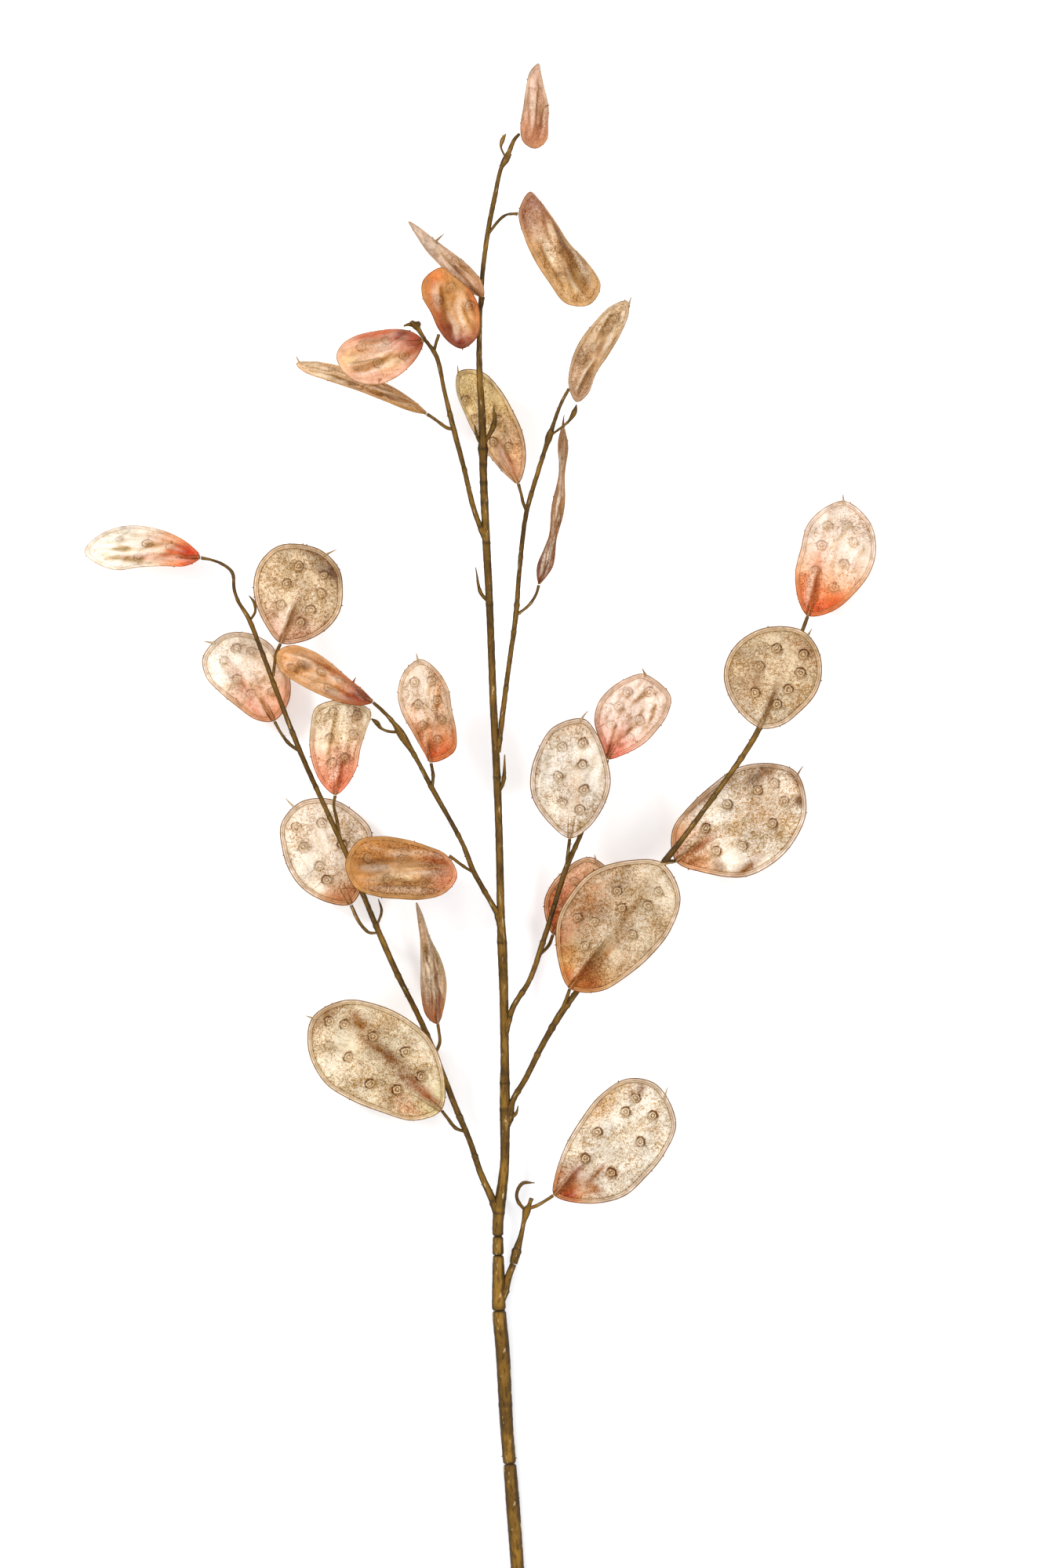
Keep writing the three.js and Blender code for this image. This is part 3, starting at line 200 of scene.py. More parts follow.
# A pod's seat is where on it its twig ends, if not at its base. Both seats and seeds are (share of the
# length, mm to the left). A beak is (share, mm to the left, degrees to the left, length). At the
# middle of its length a pod is arched up, cupped at its widest side and drifted to the left by so
# many mm. A sway is (degrees that come and go in the roll, over which share of the length). A
# perched pod needs no twig.
PODS = {
    "pod_crown_1": dict(
        base=(24.7, 335, 39.5), tip=(26.3, 373, 42), seat=(0.18, 12.8), left=(10, 13, 11.5, 9.5, 6.5),
        right=(7.3, 7.5, 7.2, 4.5, 1.5), roll=(50, 50), arch=1, cup=2,
        seeds=[(0.3, -1), (0.52, 4), (0.7, 1)], beak=(0.5, -5.5, -60, 2)),
    "pod_crown_2": dict(
        base=(22.4, 316, 39), tip=(49, 265.6, 37), seat=(0.11, -11.6), twig=[(3.4, 296.5, 44.5, 0.6),
        (9, 303.5, 45.4, 0.65), (12, 305.5, 45.8, 0.55)], left=(2.5, 5, 6.5, 11, 11.5),
        right=(11.5, 14.5, 15, 14, 12), roll=(-40, -40), arch=1.5, cup=-2, seeds=[(0.2, -6), (0.36, -8),
        (0.5, -2), (0.66, -7), (0.8, 3)]),
    "pod_crown_3": dict(
        base=(1.5, 269, 46.8), tip=(-32, 302.5, 47), twig=[(0.2, 262, 41.9, 0.6), (1, 265.5, 44.6, 0.6)],
        left=(4, 6, 7, 7.5, 4.2), right=(6, 9, 8.6, 6.5, 4.4), roll=(-45, -74), arch=-1, cup=0.5,
        seeds=[(0.3, 2), (0.48, -4), (0.62, 3)], beak=(0.68, -6.8, -85, 4.5)),
    "pod_top_left_1": dict(
        base=(-25.3, 249, 47.8), tip=(-64, 241.5, 50), twig=[(-25.5, 251, 45.5, 0.7),
        (-24.6, 250, 46.6, 0.7)], left=(7.5, 13.5, 16, 16, 12), right=(6.5, 10.5, 11.5, 11, 7),
        roll=(34, 34), arch=2, cup=-3, seeds=[(0.25, 6), (0.4, -4), (0.55, 7), (0.7, -3), (0.8, 6)],
        beak=(0.58, 15, 65, 2.9)),
    "pod_top_left_2": dict(
        base=(-7.7, 245.7, 47), tip=(-17.2, 281.8, 55), seat=(0.24, 8.6), twig=[(-20.3, 245.5, 44.7, 0.7),
        (-19.2, 249.5, 46.8, 0.7)], left=(5, 8.6, 10, 12, 9.5), right=(7.8, 10.8, 11.4, 9, 3.5),
        roll=(-6, -10), arch=1, cup=-2.5, seeds=[(0.64, 5), (0.48, -8), (0.25, -1), (0.75, -2)]),
    "pod_top_left_3": dict(
        base=(-24, 217, 43), tip=(-82, 239.5, 36.5), twig=[(-12, 209.7, 40.4, 0.6), (-15, 210.7, 41, 0.75),
        (-19, 213.6, 42, 0.6)], left=(5, 6.5, 7.5, 9, 8), right=(6, 11, 11.5, 12, 8.5), roll=(66, 68),
        arch=1, cup=1, drift=-0.9, seeds=[(0.3, 3), (0.45, -6), (0.6, 3), (0.75, -5)],
        beak=(0.98, -1.5, -35, 3.6)),
    "pod_top_right_1": dict(
        base=(43.1, 221.9, 48.6), tip=(65.5, 267, 47), seat=(0.09, 8.2), left=(9, 13, 13.5, 11.5, 7.5),
        right=(4, 3, 5, 6, 4.5), roll=(-46, -44), arch=1, cup=2, seeds=[(0.7, 2), (0.5, 5), (0.36, 8),
        (0.82, 1)], beak=(0.97, -2, 15, 3.9)),
    "pod_top_right_2": dict(
        base=(17, 186, 31), tip=(-9.5, 236, 24), twig=[(20.6, 173.5, 36, 0.6), (19, 178, 34.3, 0.75),
        (18.4, 181, 33, 0.6)], left=(3.5, 6.5, 8, 7.5, 5.5), right=(8.5, 15.5, 17, 16, 11), roll=(-34, -34),
        arch=0, cup=2, seeds=[(0.78, 4), (0.61, 4), (0.51, -7), (0.38, 1), (0.28, -5)],
        beak=(0.98, 1, -15, 4.3)),
    "pod_top_right_3": dict(
        base=(26.3, 141, 34), tip=(37, 212, 34), twig=[(16, 127, 32.4, 0.6), (22, 131.8, 33, 0.65),
        (25, 136.5, 33.6, 0.65)], left=(7.5, 8, 7, 6.5, 5.5), right=(7.5, 8, 7, 6.5, 5.5), roll=(70, 74),
        sway=(-6, 0.4), arch=0, cup=1, drift=-2.6, seeds=[(0.25, 3), (0.4, -3), (0.78, 3)],
        beak=(1, 0, 10, 4.5)),
    "pod_mid_left_1": dict(
        base=(-48, 88.5, 33.8), tip=(-90.5, 110.5, 37), left=(6.5, 12, 14.5, 14, 11),
        right=(3.5, 6.5, 9.5, 11, 9), roll=(48, 50), arch=1, cup=2, seeds=[(0.75, 1), (0.55, -1),
        (0.36, -1), (0.44, 7), (0.82, 6)], beak=(0.24, -5.5, -85, 2.5)),
    "pod_mid_left_2": dict(
        base=(-22, 61.5, 31.4), tip=(-26.5, 107.5, 36), twig=[(-21.2, 50.5, 29.6, 0.6),
        (-21, 56, 30.6, 0.75)], left=(3, 7.5, 11.5, 12.5, 8.5), right=(13, 15.5, 14.5, 13.5, 7.5),
        roll=(-28, -28), arch=1, cup=2.5, seeds=[(0.78, 4), (0.79, -5), (0.57, 3), (0.6, -7), (0.36, 2),
        (0.41, -8), (0.22, -5)], beak=(1, 1.5, 15, 3)),
    "pod_mid_left_3": dict(
        base=(-10.2, 10.8, 27.6), tip=(-60.2, 16, 34.8), seat=(0.09, -9.2), twig=[(-2, 11.5, 23.8, 0.6),
        (-8, 15.5, 24.6, 0.65)], left=(8.5, 12.3, 13, 13, 10), right=(9, 13, 15, 15, 11.5), roll=(16, 14),
        arch=1, cup=-2, seeds=[(0.3, 5), (0.5, -5), (0.62, 5), (0.8, -4)]),
    "pod_lower_left_1": dict(
        base=(-125.2, 153, 15.9), tip=(-177, 156, 9.2), left=(5.5, 6.5, 8, 10.5, 6.5),
        right=(7.5, 15, 18.5, 18, 11), roll=(44, 44), arch=0, cup=-1, seeds=[(0.71, -8), (0.47, -6),
        (0.27, -5), (0.52, 3)]),
    "pod_lower_left_2": dict(
        base=(-89, 114.7, 25.8), tip=(-72.5, 157, 31), twig=[(-92.4, 100, 23, 0.6), (-91, 110, 24.6, 0.7)],
        left=(8.5, 17.5, 21.5, 21.5, 16), right=(9.5, 17, 19.5, 17.5, 12), roll=(4, 0), arch=1, cup=2,
        seeds=[(0.77, 5), (0.78, -7), (0.57, 7), (0.6, -9), (0.35, 6), (0.41, -7), (0.26, -5)],
        beak=(0.97, -4.5, -35, 5.3)),
    "pod_lower_left_3": dict(
        base=(-92, 80, 17), tip=(-115, 118.5, 12.5), twig=[(-81, 66.5, 23.8, 0.6), (-85.5, 70, 21.4, 0.75),
        (-88.6, 74, 19, 0.6)], left=(7, 11.5, 15, 17, 13.5), right=(10.5, 16, 16.5, 16, 10), roll=(14, 14),
        arch=0, cup=2, seeds=[(0.76, 6), (0.81, -2), (0.71, -7), (0.54, 5), (0.35, 3), (0.26, -6)],
        beak=(0.98, 6, 55, 3.9)),
    "pod_lower_left_4": dict(
        base=(-64.6, 47, 26.2), tip=(-61.5, 89.5, 28), twig=[(-62.6, 28.5, 23.6, 0.6), (-64.2, 37, 25, 0.7),
        (-65.3, 42.5, 25.6, 0.6)], left=(6.5, 12, 14.5, 14.5, 12.5), right=(5, 9, 10, 12, 13.5),
        roll=(18, 20), arch=0, cup=2, seeds=[(0.86, 4), (0.84, -7), (0.59, 5), (0.64, -6), (0.39, -3),
        (0.33, 3)]),
    "pod_lower_left_5": dict(
        base=(-57.8, -2, 15), tip=(-80, 44, 11.5), twig=[(-45, -14.5, 20.4, 0.6), (-49.5, -14.6, 19, 0.65),
        (-54, -10, 17, 0.75)], left=(9, 16.5, 18.5, 17, 12.5), right=(8.5, 16.5, 22.5, 20, 13), roll=(6, 6),
        arch=0, cup=1.5, seeds=[(0.75, -4), (0.81, 7), (0.63, 8), (0.42, 5), (0.28, 5), (0.5, -8)],
        beak=(0.98, 4, 25, 5.7)),
    "pod_lower_left_6": dict(
        base=(-19, -55.3, 20), tip=(-28.5, -1, 21), twig=[(-19.8, -68.4, 14.8, 0.6),
        (-18, -63.5, 16.6, 0.7), (-18.4, -59, 18.4, 0.6)], left=(10, 12, 8, 3.5, 2),
        right=(7.5, 14.5, 14.5, 9, 5.5), roll=(60, 75), arch=0, cup=1,
        seeds=[(0.25, -3), (0.4, -5), (0.55, -3)]),
    "pod_lower_left_7": dict(
        base=(-17.3, -94, 16.2), tip=(-75, -52.5, 18), twig=[(-6, -104, 12.2, 0.6), (-11, -102, 13.4, 0.75),
        (-14.6, -97.6, 14.8, 0.7)], left=(11, 16.5, 20, 20.5, 13), right=(12.5, 23, 25, 22.5, 15),
        roll=(-8, -8), arch=2, cup=2, seeds=[(0.9, -3), (0.81, -6), (0.81, 6), (0.67, 5), (0.62, -9),
        (0.4, -12), (0.23, -7), (0.46, 9), (0.3, 4)], beak=(0.99, 0, 25, 3.6)),
    "pod_right_inner_1": dict(
        base=(57, 63, 26.5), tip=(73.5, 101, 24), left=(4.5, 12.5, 14.5, 12, 6),
        right=(5.5, 12, 15, 16.5, 14.5), roll=(10, 10), arch=1, cup=2.5, seeds=[(0.74, 4), (0.84, -5),
        (0.56, 5), (0.52, -6), (0.34, 5), (0.3, -5)], beak=(1, 0, 55, 2.8)),
    "pod_right_inner_2": dict(
        base=(40, 27.5, 28.8), tip=(46, 81, 35.5), twig=[(38.6, 15, 24.2, 0.6), (39.2, 21, 26.6, 0.75)],
        left=(9.5, 18.5, 20.5, 18.5, 13), right=(7.5, 13.5, 15.5, 12.5, 6.5), roll=(-4, -4), arch=1, cup=2,
        seeds=[(0.75, 8), (0.8, -1), (0.62, -2), (0.5, 8), (0.42, -4), (0.29, 5), (0.25, -3)],
        beak=(0.99, 1, -25, 4.9)),
    "pod_right_inner_3": dict(
        base=(32.6, -15.4, 16.4), tip=(50, 19, 13), twig=[(26, -25, 20.3, 0.6), (30.6, -20.4, 18.4, 0.7)],
        left=(5.5, 10.5, 11, 9, 5), right=(9, 14.5, 16, 16.5, 14.5), roll=(8, 8), arch=0, cup=1.5,
        seeds=[(0.35, 4), (0.45, -6), (0.65, 2), (0.7, -9)], beak=(0.99, -2, 45, 2.5)),
    "pod_right_outer_1": dict(
        base=(146.4, 127, 16.4), tip=(163.5, 178.5, 0.4), left=(6.5, 11.5, 12.5, 13, 7.5),
        right=(10, 17, 20.5, 19.5, 13), roll=(4, 0), arch=1.5, cup=2, seeds=[(0.75, 4), (0.81, -4),
        (0.58, 4), (0.68, -9), (0.49, -8), (0.37, 3), (0.28, -7)], beak=(0.98, 0.5, 30, 3.9)),
    "pod_right_outer_2": dict(
        base=(124.6, 76.8, 28.6), tip=(143.5, 120.5, 31), perched=True, left=(14.5, 23.5, 25.5, 23, 14.5),
        right=(8.5, 14, 17, 16, 10), roll=(0, 0), arch=1, cup=1.5, seeds=[(0.75, 7), (0.8, -5), (0.53, 11),
        (0.63, -7), (0.44, -5), (0.29, 8), (0.27, -3)], beak=(0.98, -3.5, 0, 3.4)),
    "pod_right_outer_3": dict(
        base=(87.4, 17.2, 20.8), tip=(141.5, 57, 15), twig=[(82.5, 17.5, 23.8, 0.8),
        (85.4, 17.4, 22.2, 0.75)], left=(12, 16.5, 18, 17.5, 10), right=(11, 23.5, 26.5, 24.5, 16.5),
        roll=(2, 2), arch=-1, cup=1, seeds=[(0.72, 4), (0.84, 2), (0.82, -7), (0.5, 7), (0.67, -12),
        (0.29, 4), (0.42, -12), (0.26, -7)], beak=(0.98, -1.5, 30, 5.8)),
    "pod_right_outer_4": dict(
        base=(40, -39.6, 24), tip=(81.5, 16.5, 32), twig=[(36, -50.5, 18.4, 0.9), (38.6, -44, 21.4, 0.8)],
        left=(11.5, 22.5, 25, 23, 12), right=(11.5, 17.5, 20.5, 20.5, 15), roll=(0, 0), arch=2, cup=2,
        seeds=[(0.69, 9), (0.62, 3), (0.84, -6), (0.73, -6), (0.52, -8), (0.44, 9), (0.4, 16), (0.28, 6)],
        beak=(0.99, 0, -40, 5.1)),
    "pod_spur_1": dict(
        base=(33, -132, 13), tip=(79, -82.5, 20), twig=[(21.2, -138.4, 11, 0.7), (26, -136.4, 11.8, 0.75),
        (30, -134, 12.5, 0.65)], left=(5.5, 11.5, 14.5, 15.5, 11.5), right=(13, 23, 24.5, 23.5, 18),
        roll=(4, 4), arch=1, cup=2, seeds=[(0.84, 3), (0.73, 2), (0.83, -8), (0.5, 5), (0.65, -12),
        (0.32, 1), (0.37, -12)], beak=(0.97, -6.5, 35, 4.9)),
}

# %% [markdown]
# ## Smooth lines through a few points
# A route or an outline holds only the points that its shape needs. A centripetal spline joins them:
# it passes through every point, and unlike an even one it never loops where two points lie close.

# %% A spline through points
def spline(points, closed, counts):
    """Points along a smooth line. Each point may carry one more value after x, y and z.
    counts gives how many steps each stretch has."""
    given = [Vector(p) for p in points]
    last = len(given)

    def at(index):
        if closed:
            return given[index % last]
        if index < 0:
            return given[0] * 2 - given[1]
        return given[index] if index < last else given[-1] * 2 - given[-2]

    line = []
    for i in range(last if closed else last - 1):
        p0, p1, p2, p3 = (at(i + k) for k in (-1, 0, 1, 2))
        steps = [max(1e-6, math.sqrt((b.xyz - a.xyz).length)) for a, b in ((p0, p1), (p1, p2), (p2, p3))]
        leave = ((p1 - p0) / steps[0] - (p2 - p0) / (steps[0] + steps[1]) + (p2 - p1) / steps[1]) * steps[1]
        reach = ((p2 - p1) / steps[1] - (p3 - p1) / (steps[1] + steps[2]) + (p3 - p2) / steps[2]) * steps[1]
        for k in range(counts[i]):
            t = k / counts[i]
            line.append(p1 + leave * t + (p2 * 3 - p1 * 3 - leave * 2 - reach) * t * t
                        + (p1 * 2 - p2 * 2 + leave + reach) * t ** 3)
    return line if closed else line + [given[-1].copy()]


def stem_line(route):
    lengths = [(Vector(b[:3]) - Vector(a[:3])).length for a, b in zip(route, route[1:])]
    return spline(route, False, [max(1, round(d / STEM_STEP)) for d in lengths])


print("main stem in", len(stem_line(MAIN_ROUTE)), "rings")

# %% [markdown]
# ## One builder for all relief
# The bead round a pod, the fine welt inside it, the thread from a seed to the rim, the fold at the base
# and the beak all follow a path. So do the stems. Geometry Nodes sweep a round section along such paths,
# and place what repeats: the seed rings and the small moulding nubs. Each piece is handed over as one
# plain mesh of faces, bare edges and loose points. The attribute "kind" says what each vertex is for.

# %% Helpers for node trees
FACES, PATH, SEED, NUB = 0, 1, 2, 3
ATTRIBUTES = {"kind": "INT", "thick": "FLOAT", "tone": "FLOAT_COLOR", "stipple": "FLOAT",
              "grain_at": "FLOAT_VECTOR", "seed_at": "FLOAT_VECTOR", "facing": "FLOAT_VECTOR",
              "ahead": "FLOAT_VECTOR"}
SOCKETS = {int: "NodeSocketInt", float: "NodeSocketFloat", type(None): "NodeSocketMaterial"}


def put(tree, kind, inputs=(), **settings):
    node = tree.nodes.new(kind)
    for key, value in settings.items():
        setattr(node, key, value)
    for key, value in dict(inputs).items():
        if isinstance(value, bpy.types.NodeSocket):
            tree.links.new(value, node.inputs[key])
        else:
            node.inputs[key].default_value = value
    return node


def made(tree, kind, inputs=(), **settings):
    return put(tree, kind, inputs, **settings).outputs[0]


def maths(tree, operation, *values, **settings):
    return made(tree, "ShaderNodeMath", enumerate(values), operation=operation, **settings)


def vector_maths(tree, operation, *values):
    """SCALE takes a vector, two gaps and a number. LENGTH gives a number."""
    inputs = {k: value for k, value in enumerate(values) if value is not None}
    node = put(tree, "ShaderNodeVectorMath", inputs, operation=operation)
    return node.outputs["Value" if operation == "LENGTH" else "Vector"]


def grain(tree, scale, detail, **inputs):
    """Noise at a scale per metre. Its place is the vertex's own unless one is given."""
    return put(tree, "ShaderNodeTexNoise", {"Scale": scale, "Detail": detail, **inputs}).outputs


def off_middle(tree, scale, detail, **inputs):
    return vector_maths(tree, "SUBTRACT", grain(tree, scale, detail, **inputs)["Color"], (0.5, 0.5, 0.5))


def new_geometry_tree(name, inputs):
    """A tree that changes a geometry by some named inputs. None stands for a material."""
    tree = bpy.data.node_groups.new(name, "GeometryNodeTree")
    for way in ("INPUT", "OUTPUT"):
        tree.interface.new_socket("Geometry", in_out=way, socket_type="NodeSocketGeometry")
    for label, value in inputs.items():
        socket = tree.interface.new_socket(label, in_out="INPUT", socket_type=SOCKETS[type(value)])
        if value is not None:
            socket.default_value = value
    return tree, tree.nodes.new("NodeGroupInput").outputs


def named(tree, name):
    node = put(tree, "GeometryNodeInputNamedAttribute", {"Name": name}, data_type=ATTRIBUTES[name])
    return node.outputs["Attribute"]


def only(tree, geometry, kind):
    """The vertices whose "kind" is the given one, and the rest."""
    same = made(tree, "FunctionNodeCompare", {2: named(tree, "kind"), 3: kind},
                data_type="INT", operation="EQUAL")
    split = put(tree, "GeometryNodeSeparateGeometry", {"Geometry": geometry, "Selection": same},
                domain="POINT").outputs
    return split["Selection"], split["Inverted"]


def circle(tree, steps, radius):
    return made(tree, "GeometryNodeCurvePrimitiveCircle", {"Resolution": steps, "Radius": radius})


def swept(tree, geometry, sides):
    """A skin round the paths, as thick as they say. "round" tells each vertex where it stands in it."""
    section, where = circle(tree, sides, 1.0), tree.nodes.new("GeometryNodeInputPosition").outputs[0]
    marked = made(tree, "GeometryNodeStoreNamedAttribute", {
        "Geometry": section, "Name": "round", "Value": where}, data_type="FLOAT_VECTOR", domain="POINT")
    return made(tree, "GeometryNodeCurveToMesh", {
        "Curve": made(tree, "GeometryNodeMeshToCurve", {"Mesh": geometry}), "Profile Curve": marked,
        "Scale": named(tree, "thick"), "Fill Caps": True})


def moved(tree, geometry, offset):
    return made(tree, "GeometryNodeSetPosition", {"Geometry": geometry, "Offset": offset})


def on_points(tree, points, piece, turn, size):
    return made(tree, "GeometryNodeInstanceOnPoints", {
        "Points": points, "Instance": piece, "Rotation": turn, "Scale": size})


NUB_HEIGHTS = 0.45, 1.5      # times the nub size


def nubs(tree, points, outward, size, seed):
    """Small blunt spikes on the points, turned outward, each of its own height."""
    low, high = NUB_HEIGHTS
    spike = made(tree, "GeometryNodeMeshCone", {
        "Vertices": 5, "Radius Top": 0.12, "Radius Bottom": 0.5, "Depth": 1.0})
    turn = made(tree, "FunctionNodeAlignRotationToVector", {"Vector": outward}, axis="Z")
    height = put(tree, "FunctionNodeRandomValue", {2: low, 3: high, "Seed": seed}, data_type="FLOAT")
    return on_points(tree, points, spike, turn, maths(tree, "MULTIPLY", height.outputs[1], size))


def end_tree(tree, geometries, material):
    join = tree.nodes.new("GeometryNodeJoinGeometry")
    for geometry in geometries:
        tree.links.new(geometry, join.inputs[0])
    real = made(tree, "GeometryNodeRealizeInstances", {"Geometry": join.outputs[0]})
    dressed = made(tree, "GeometryNodeSetMaterial", {"Geometry": real, "Material": material})
    tree.links.new(dressed, tree.nodes.new("NodeGroupOutput").inputs[0])
    print(tree.name, "has", len(tree.nodes), "nodes")
    return tree


# %% The tree that finishes a pod
RING_STEPS, INNER_RING = (26, 16), 0.48      # the inner ring of a seed is smaller by this
RING_SIZES = (0.7, 0.62, 1.0), (1.2, 1.05, 1.0)      # the smallest and the largest, along, across and up


def pod_relief_tree():
    tree, given = new_geometry_tree("Pod relief", {
        "Path sides": 7, "Ring radius": RING_RADIUS * MM, "Ring thickness": RING_THICK * MM,
        "Ring unevenness": 0.28 * MM, "Nub size": 0.5 * MM, "Seed": 1, "Material": None})
    film, rest = only(tree, given["Geometry"], FACES)
    paths, rest = only(tree, rest, PATH)
    seeds, points = only(tree, rest, SEED)
    facing = named(tree, "facing")
    section = circle(tree, 5, given["Ring thickness"])
    inner = maths(tree, "MULTIPLY", given["Ring radius"], INNER_RING)
    pair = tree.nodes.new("GeometryNodeJoinGeometry")
    for radius, steps in zip((given["Ring radius"], inner), RING_STEPS):
        ring = made(tree, "GeometryNodeCurveToMesh", {"Curve": circle(tree, steps, radius),
                                                      "Profile Curve": section})
        tree.links.new(ring, pair.inputs[0])
    turn = made(tree, "FunctionNodeAxesToRotation", {
        "Primary Axis": facing, "Secondary Axis": named(tree, "ahead")},
        primary_axis="Z", secondary_axis="X")
    size = made(tree, "FunctionNodeRandomValue", {
        0: RING_SIZES[0], 1: RING_SIZES[1], "Seed": given["Seed"]}, data_type="FLOAT_VECTOR")
    rings = on_points(tree, seeds, pair.outputs[0], turn, size)
    loose = made(tree, "GeometryNodeRealizeInstances", {"Geometry": rings})
    pull = vector_maths(tree, "SCALE", off_middle(tree, 300.0, 2.0), None, None, given["Ring unevenness"])
    return end_tree(tree, [film, swept(tree, paths, given["Path sides"]), moved(tree, loose, pull),
                           nubs(tree, points, facing, given["Nub size"], given["Seed"])], given["Material"])


POD_RELIEF = pod_relief_tree()


# %% The tree that skins a stem
def stem_skin_tree():
    tree, given = new_geometry_tree("Stem skin", {
        "Sides": 14, "Unevenness": 0.42 * MM, "Grain per metre": 420.0, "Nubs per square metre": 9000.0,
        "Nub size": 0.45 * MM, "Seed": 1, "Material": None})
    skin = swept(tree, given["Geometry"], given["Sides"])
    rise = maths(tree, "SUBTRACT", grain(tree, given["Grain per metre"], 3.0)["Fac"], 0.5)
    push = vector_maths(tree, "SCALE", tree.nodes.new("GeometryNodeInputNormal").outputs[0], None, None,
                        maths(tree, "MULTIPLY", rise, given["Unevenness"]))
    uneven = moved(tree, skin, push)
    scattered = put(tree, "GeometryNodeDistributePointsOnFaces", {
        "Mesh": uneven, "Density": given["Nubs per square metre"], "Seed": given["Seed"]}).outputs
    spikes = nubs(tree, scattered["Points"], scattered["Normal"], given["Nub size"], given["Seed"])
    return end_tree(tree, [uneven, spikes], given["Material"])


STEM_SKIN = stem_skin_tree()

# %% [markdown]
# ## A piece, before and after its tree
# `Draft` collects faces, paths and points with their attributes. The piece then stands for its solid,
# which is hidden.

# %% Draft and finish
FIELDS = {"INT": "value", "FLOAT": "value", "FLOAT_COLOR": "color", "FLOAT_VECTOR": "vector"}
UP = Vector((0, 0, 1))
GRAIN_EVERY = 8          # millimetres along a path in which its "grain_at" grows by one
PATH_SHIFT = 7.3         # sets one path's grain apart from the next


class Draft:
    def __init__(self):
        self.points, self.edges, self.faces = [], [], []
        self.values = {name: [] for name in ATTRIBUTES}

    def add(self, point, kind, colour, thick=0.0, stipple=0.0, grain_at=(0, 0, 0), seed_at=FAR_OFF,
            facing=UP, ahead=UP):
        self.points.append(point * MM)
        row = dict(kind=[kind], thick=[thick * MM], tone=[*colour, 1.0], stipple=[stipple],
                   grain_at=grain_at, seed_at=seed_at, facing=facing, ahead=ahead)
        for name, value in row.items():
            self.values[name].extend(value)
        return len(self.points) - 1

    def path(self, points, thicknesses, colours, closed=False, stipple=0.0):
        """A line to be swept."""
        run, ids = PATH_SHIFT * len(self.edges), []
        for k, (p, t, c) in enumerate(zip(points, thicknesses, colours)):
            run += (p - points[k - 1]).length / GRAIN_EVERY if k else 0
            ids.append(self.add(p, PATH, c, thick=t, stipple=stipple, grain_at=(0, 0, run)))
        self.edges += list(zip(ids, ids[1:])) + ([(ids[-1], ids[0])] if closed else [])

    def mesh(self, name):
        mesh = bpy.data.meshes.new(name)
        mesh.from_pydata(self.points, self.edges, self.faces)
        for attribute, kind in ATTRIBUTES.items():
            data = mesh.attributes.new(attribute, kind, "POINT").data
            data.foreach_set(FIELDS[kind], self.values[attribute])
        return mesh


def link(thing):
    bpy.context.scene.collection.objects.link(thing)
    return thing


def keep_inside(mesh):
    """Presses the little that stands out of the part's own space back into it."""
    for vertex in mesh.vertices:
        limits = zip(vertex.co, SPACE_LOW, SPACE_HIGH)
        vertex.co = [min(high * MM, max(low * MM, c)) for c, low, high in limits]


def finish_piece(node, draft, tree, slot, smooth_below, **settings):
    piece = link(bpy.data.objects.new("fine_" + node, draft.mesh("fine_" + node)))
    modifier = piece.modifiers.new("build", "NODES")
    modifier.node_group = tree
    for item in tree.interface.items_tree:
        if item.in_out == "INPUT" and item.name in settings:
            modifier[item.identifier] = settings[item.name]
    graph = bpy.context.evaluated_depsgraph_get()
    plain = bpy.data.meshes.new_from_object(piece.evaluated_get(graph), preserve_all_data_layers=True,
                                            depsgraph=graph)
    piece.modifiers.remove(modifier)
    piece.data = plain
    keep_inside(plain)
    plain.shade_smooth()
    plain.set_sharp_from_angle(angle=math.radians(smooth_below))
    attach(piece, "root")
    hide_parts(node)
    return piece


# %% [markdown]
# ## Film
# The pods are thin, satin, translucent film. Light goes through it, so it is a mix of a reflecting shader,
# a translucent one and a little clear transparency, which lets a stem behind a pod show as a soft band.
# Three effects are groups that all films share: stipple, the fine brown specks with painted glints between
# them; fibres, which run along the pod; and the marks round each seed, each with a painted glint.

# %% Shared effects, as shader groups
def new_shader_group(name, vectors, numbers, results):
    """A group with vector and number inputs, whose results are numbers, and its two ends."""
    group = bpy.data.node_groups.new(name, "ShaderNodeTree")
    for labels, way, kind in ((vectors, "INPUT", "Vector"), (numbers, "INPUT", "Float"),
                              (results, "OUTPUT", "Float")):
        for label in labels:
            group.interface.new_socket(label, in_out=way, socket_type="NodeSocket" + kind)
    return group, group.nodes.new("NodeGroupInput").outputs, group.nodes.new("NodeGroupOutput").inputs


def send(tree, end, **results):
    for label, value in results.items():
        tree.links.new(value, end[label])


def ranged(tree, value, low, high, to_low=0.0, to_high=1.0):
    return made(tree, "ShaderNodeMapRange", {
        "Value": value, "From Min": low, "From Max": high, "To Min": to_low, "To Max": to_high},
        interpolation_type="SMOOTHSTEP")


def times(tree, a, b):
    return maths(tree, "MULTIPLY", a, b)


def mixed(tree, share, a, b, blend="MIX"):
    """Colour a with a share of b, which is a socket or a tone."""
    b = (*b, 1.0) if isinstance(b, Vector) else b
    return put(tree, "ShaderNodeMix", {0: share, 6: a, 7: b}, data_type="RGBA", blend_type=blend).outputs[2]


def band(tree, value, middle, half):
    """1 where the value is at the middle, fading to 0 at half a band away."""
    return ranged(tree, maths(tree, "ABSOLUTE", maths(tree, "SUBTRACT", value, middle)), 0.0, half, 1.0, 0.0)


